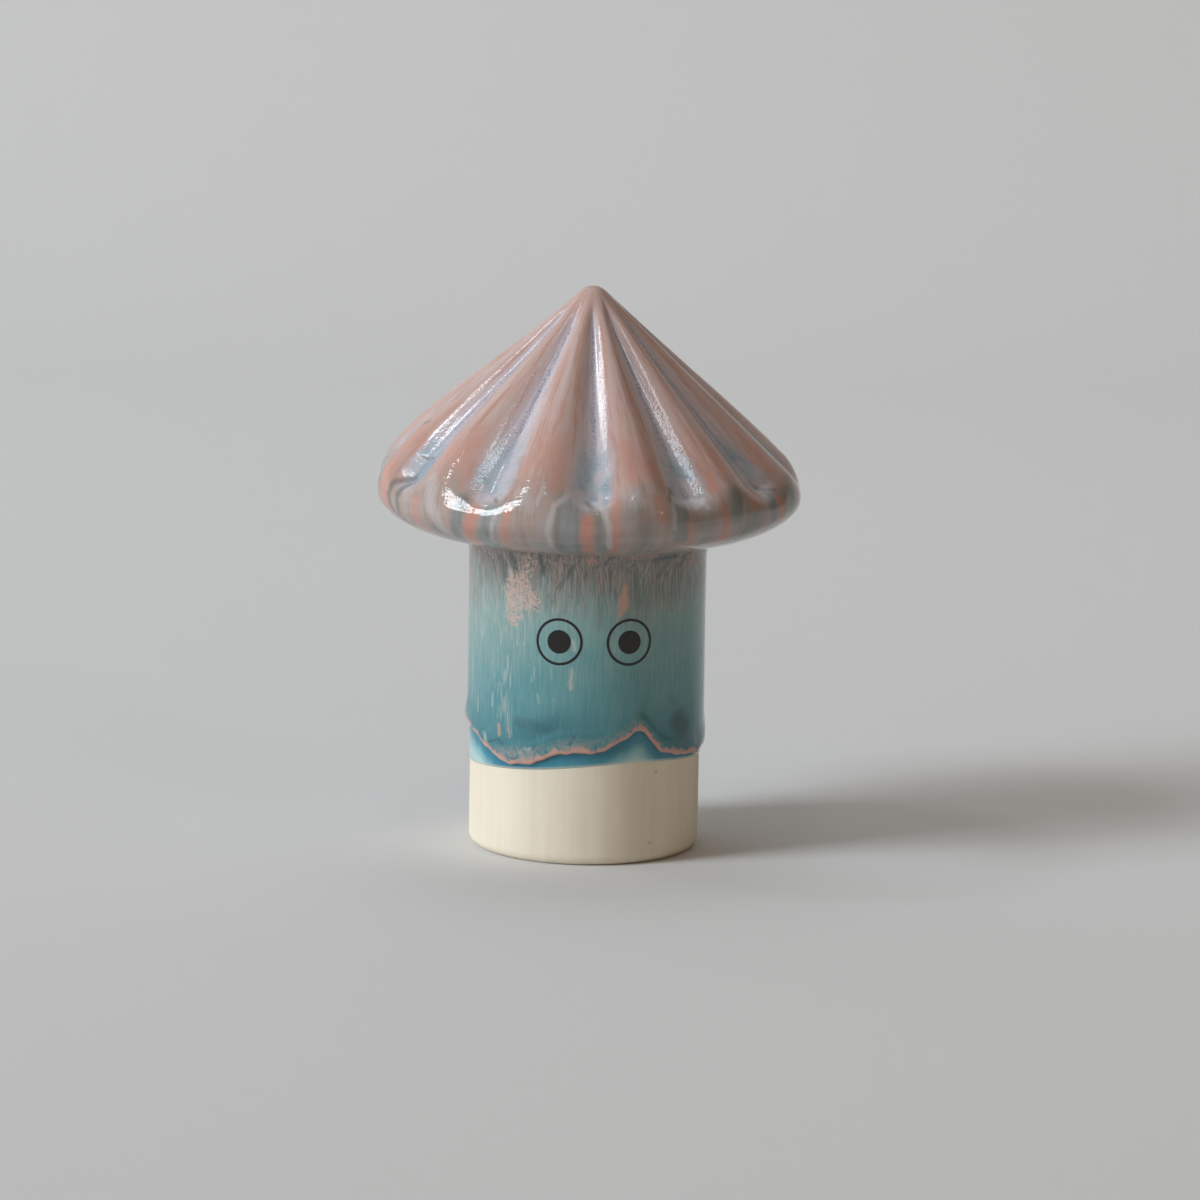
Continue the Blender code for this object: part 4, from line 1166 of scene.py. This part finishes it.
# %% Transfer ink
def transfer_ink(name):
    material, add, shader = new_material(name)
    place = add("TexCoord").outputs["Object"]
    grain_size = 0.3 * MM
    grain = add("TexNoise", {"Vector": place, "Scale": 1 / grain_size, "Detail": 2.0})
    black = add("ValToRGB", {"Fac": grain}, stops=((0.3, "#141313"), (0.7, "#1E1C1B")))
    fill(shader, {"Base Color": black, "Roughness": 0.22})
    return material


ink = transfer_ink("black_transfer_ink_fired")

# %% [markdown]
# Each eye is a thin ring with a round pupil in its middle. A decal image would do for a picture. Here
# they are thin solids, drawn flat as rings of points and laid round the stalk, a hair proud of it, so
# they keep their edge from near.

# %% Eyes
EYE_STEPS = 96
RING_LINE = 0.45 * MM
INK_PROUD = 0.03 * MM
INK_SUNK = 0.10 * MM
INK_CORNER = math.radians(40)
PUPIL_RINGS = (1.0, 0.7, 0.4, 0.0)


def transfer(name, azimuth, rings, cad_node):
    # Rings of points on the stalk's round, front face first and then the same rings sunk into the glaze.
    turn = np.arange(EYE_STEPS) * 2 * np.pi / EYE_STEPS
    rows = []
    for radius, proud in rings:
        across = azimuth + radius * np.cos(turn) / RUN_RADIUS
        out = RUN_RADIUS + proud
        up = EYE_HEIGHT + radius * np.sin(turn)
        rows.append(np.stack([out * np.sin(across), -out * np.cos(across), up], axis=1))
    made = add_piece(name, np.vstack(rows), ring_faces(len(rows), EYE_STEPS, True), ink, cad_node)
    made.data.set_sharp_from_angle(angle=INK_CORNER)


for side in ("left", "right"):
    low, high = (Vector(corner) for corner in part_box("eye_pupil_" + side))
    middle = (low + high) / 2
    azimuth = math.atan2(middle.x, -middle.y)
    outside, inside = EYE_RING_RADIUS, EYE_RING_RADIUS - RING_LINE
    ring = ((outside, INK_PROUD), (inside, INK_PROUD), (inside, -INK_SUNK), (outside, -INK_SUNK))
    transfer("eye_ring_" + side + "_ink", azimuth, ring, "eye_ring_" + side)
    pupil_radius = (high.z - low.z) / 2
    discs = [(pupil_radius * s, INK_PROUD) for s in PUPIL_RINGS]
    discs += [(pupil_radius * s, -INK_SUNK) for s in PUPIL_RINGS[::-1]]
    transfer("eye_pupil_" + side + "_ink", azimuth, discs, "eye_pupil_" + side)

# %% [markdown]
# The slip that joins the cap to the stalk is out of sight. It keeps its CAD mesh and gets the clay's
# finish.

# %% Finish of the joining slip
slip_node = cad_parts["luting_slip"]
slip_node.data.materials.clear()
slip_node.data.materials.append(stoneware("fired_stoneware_slip"))
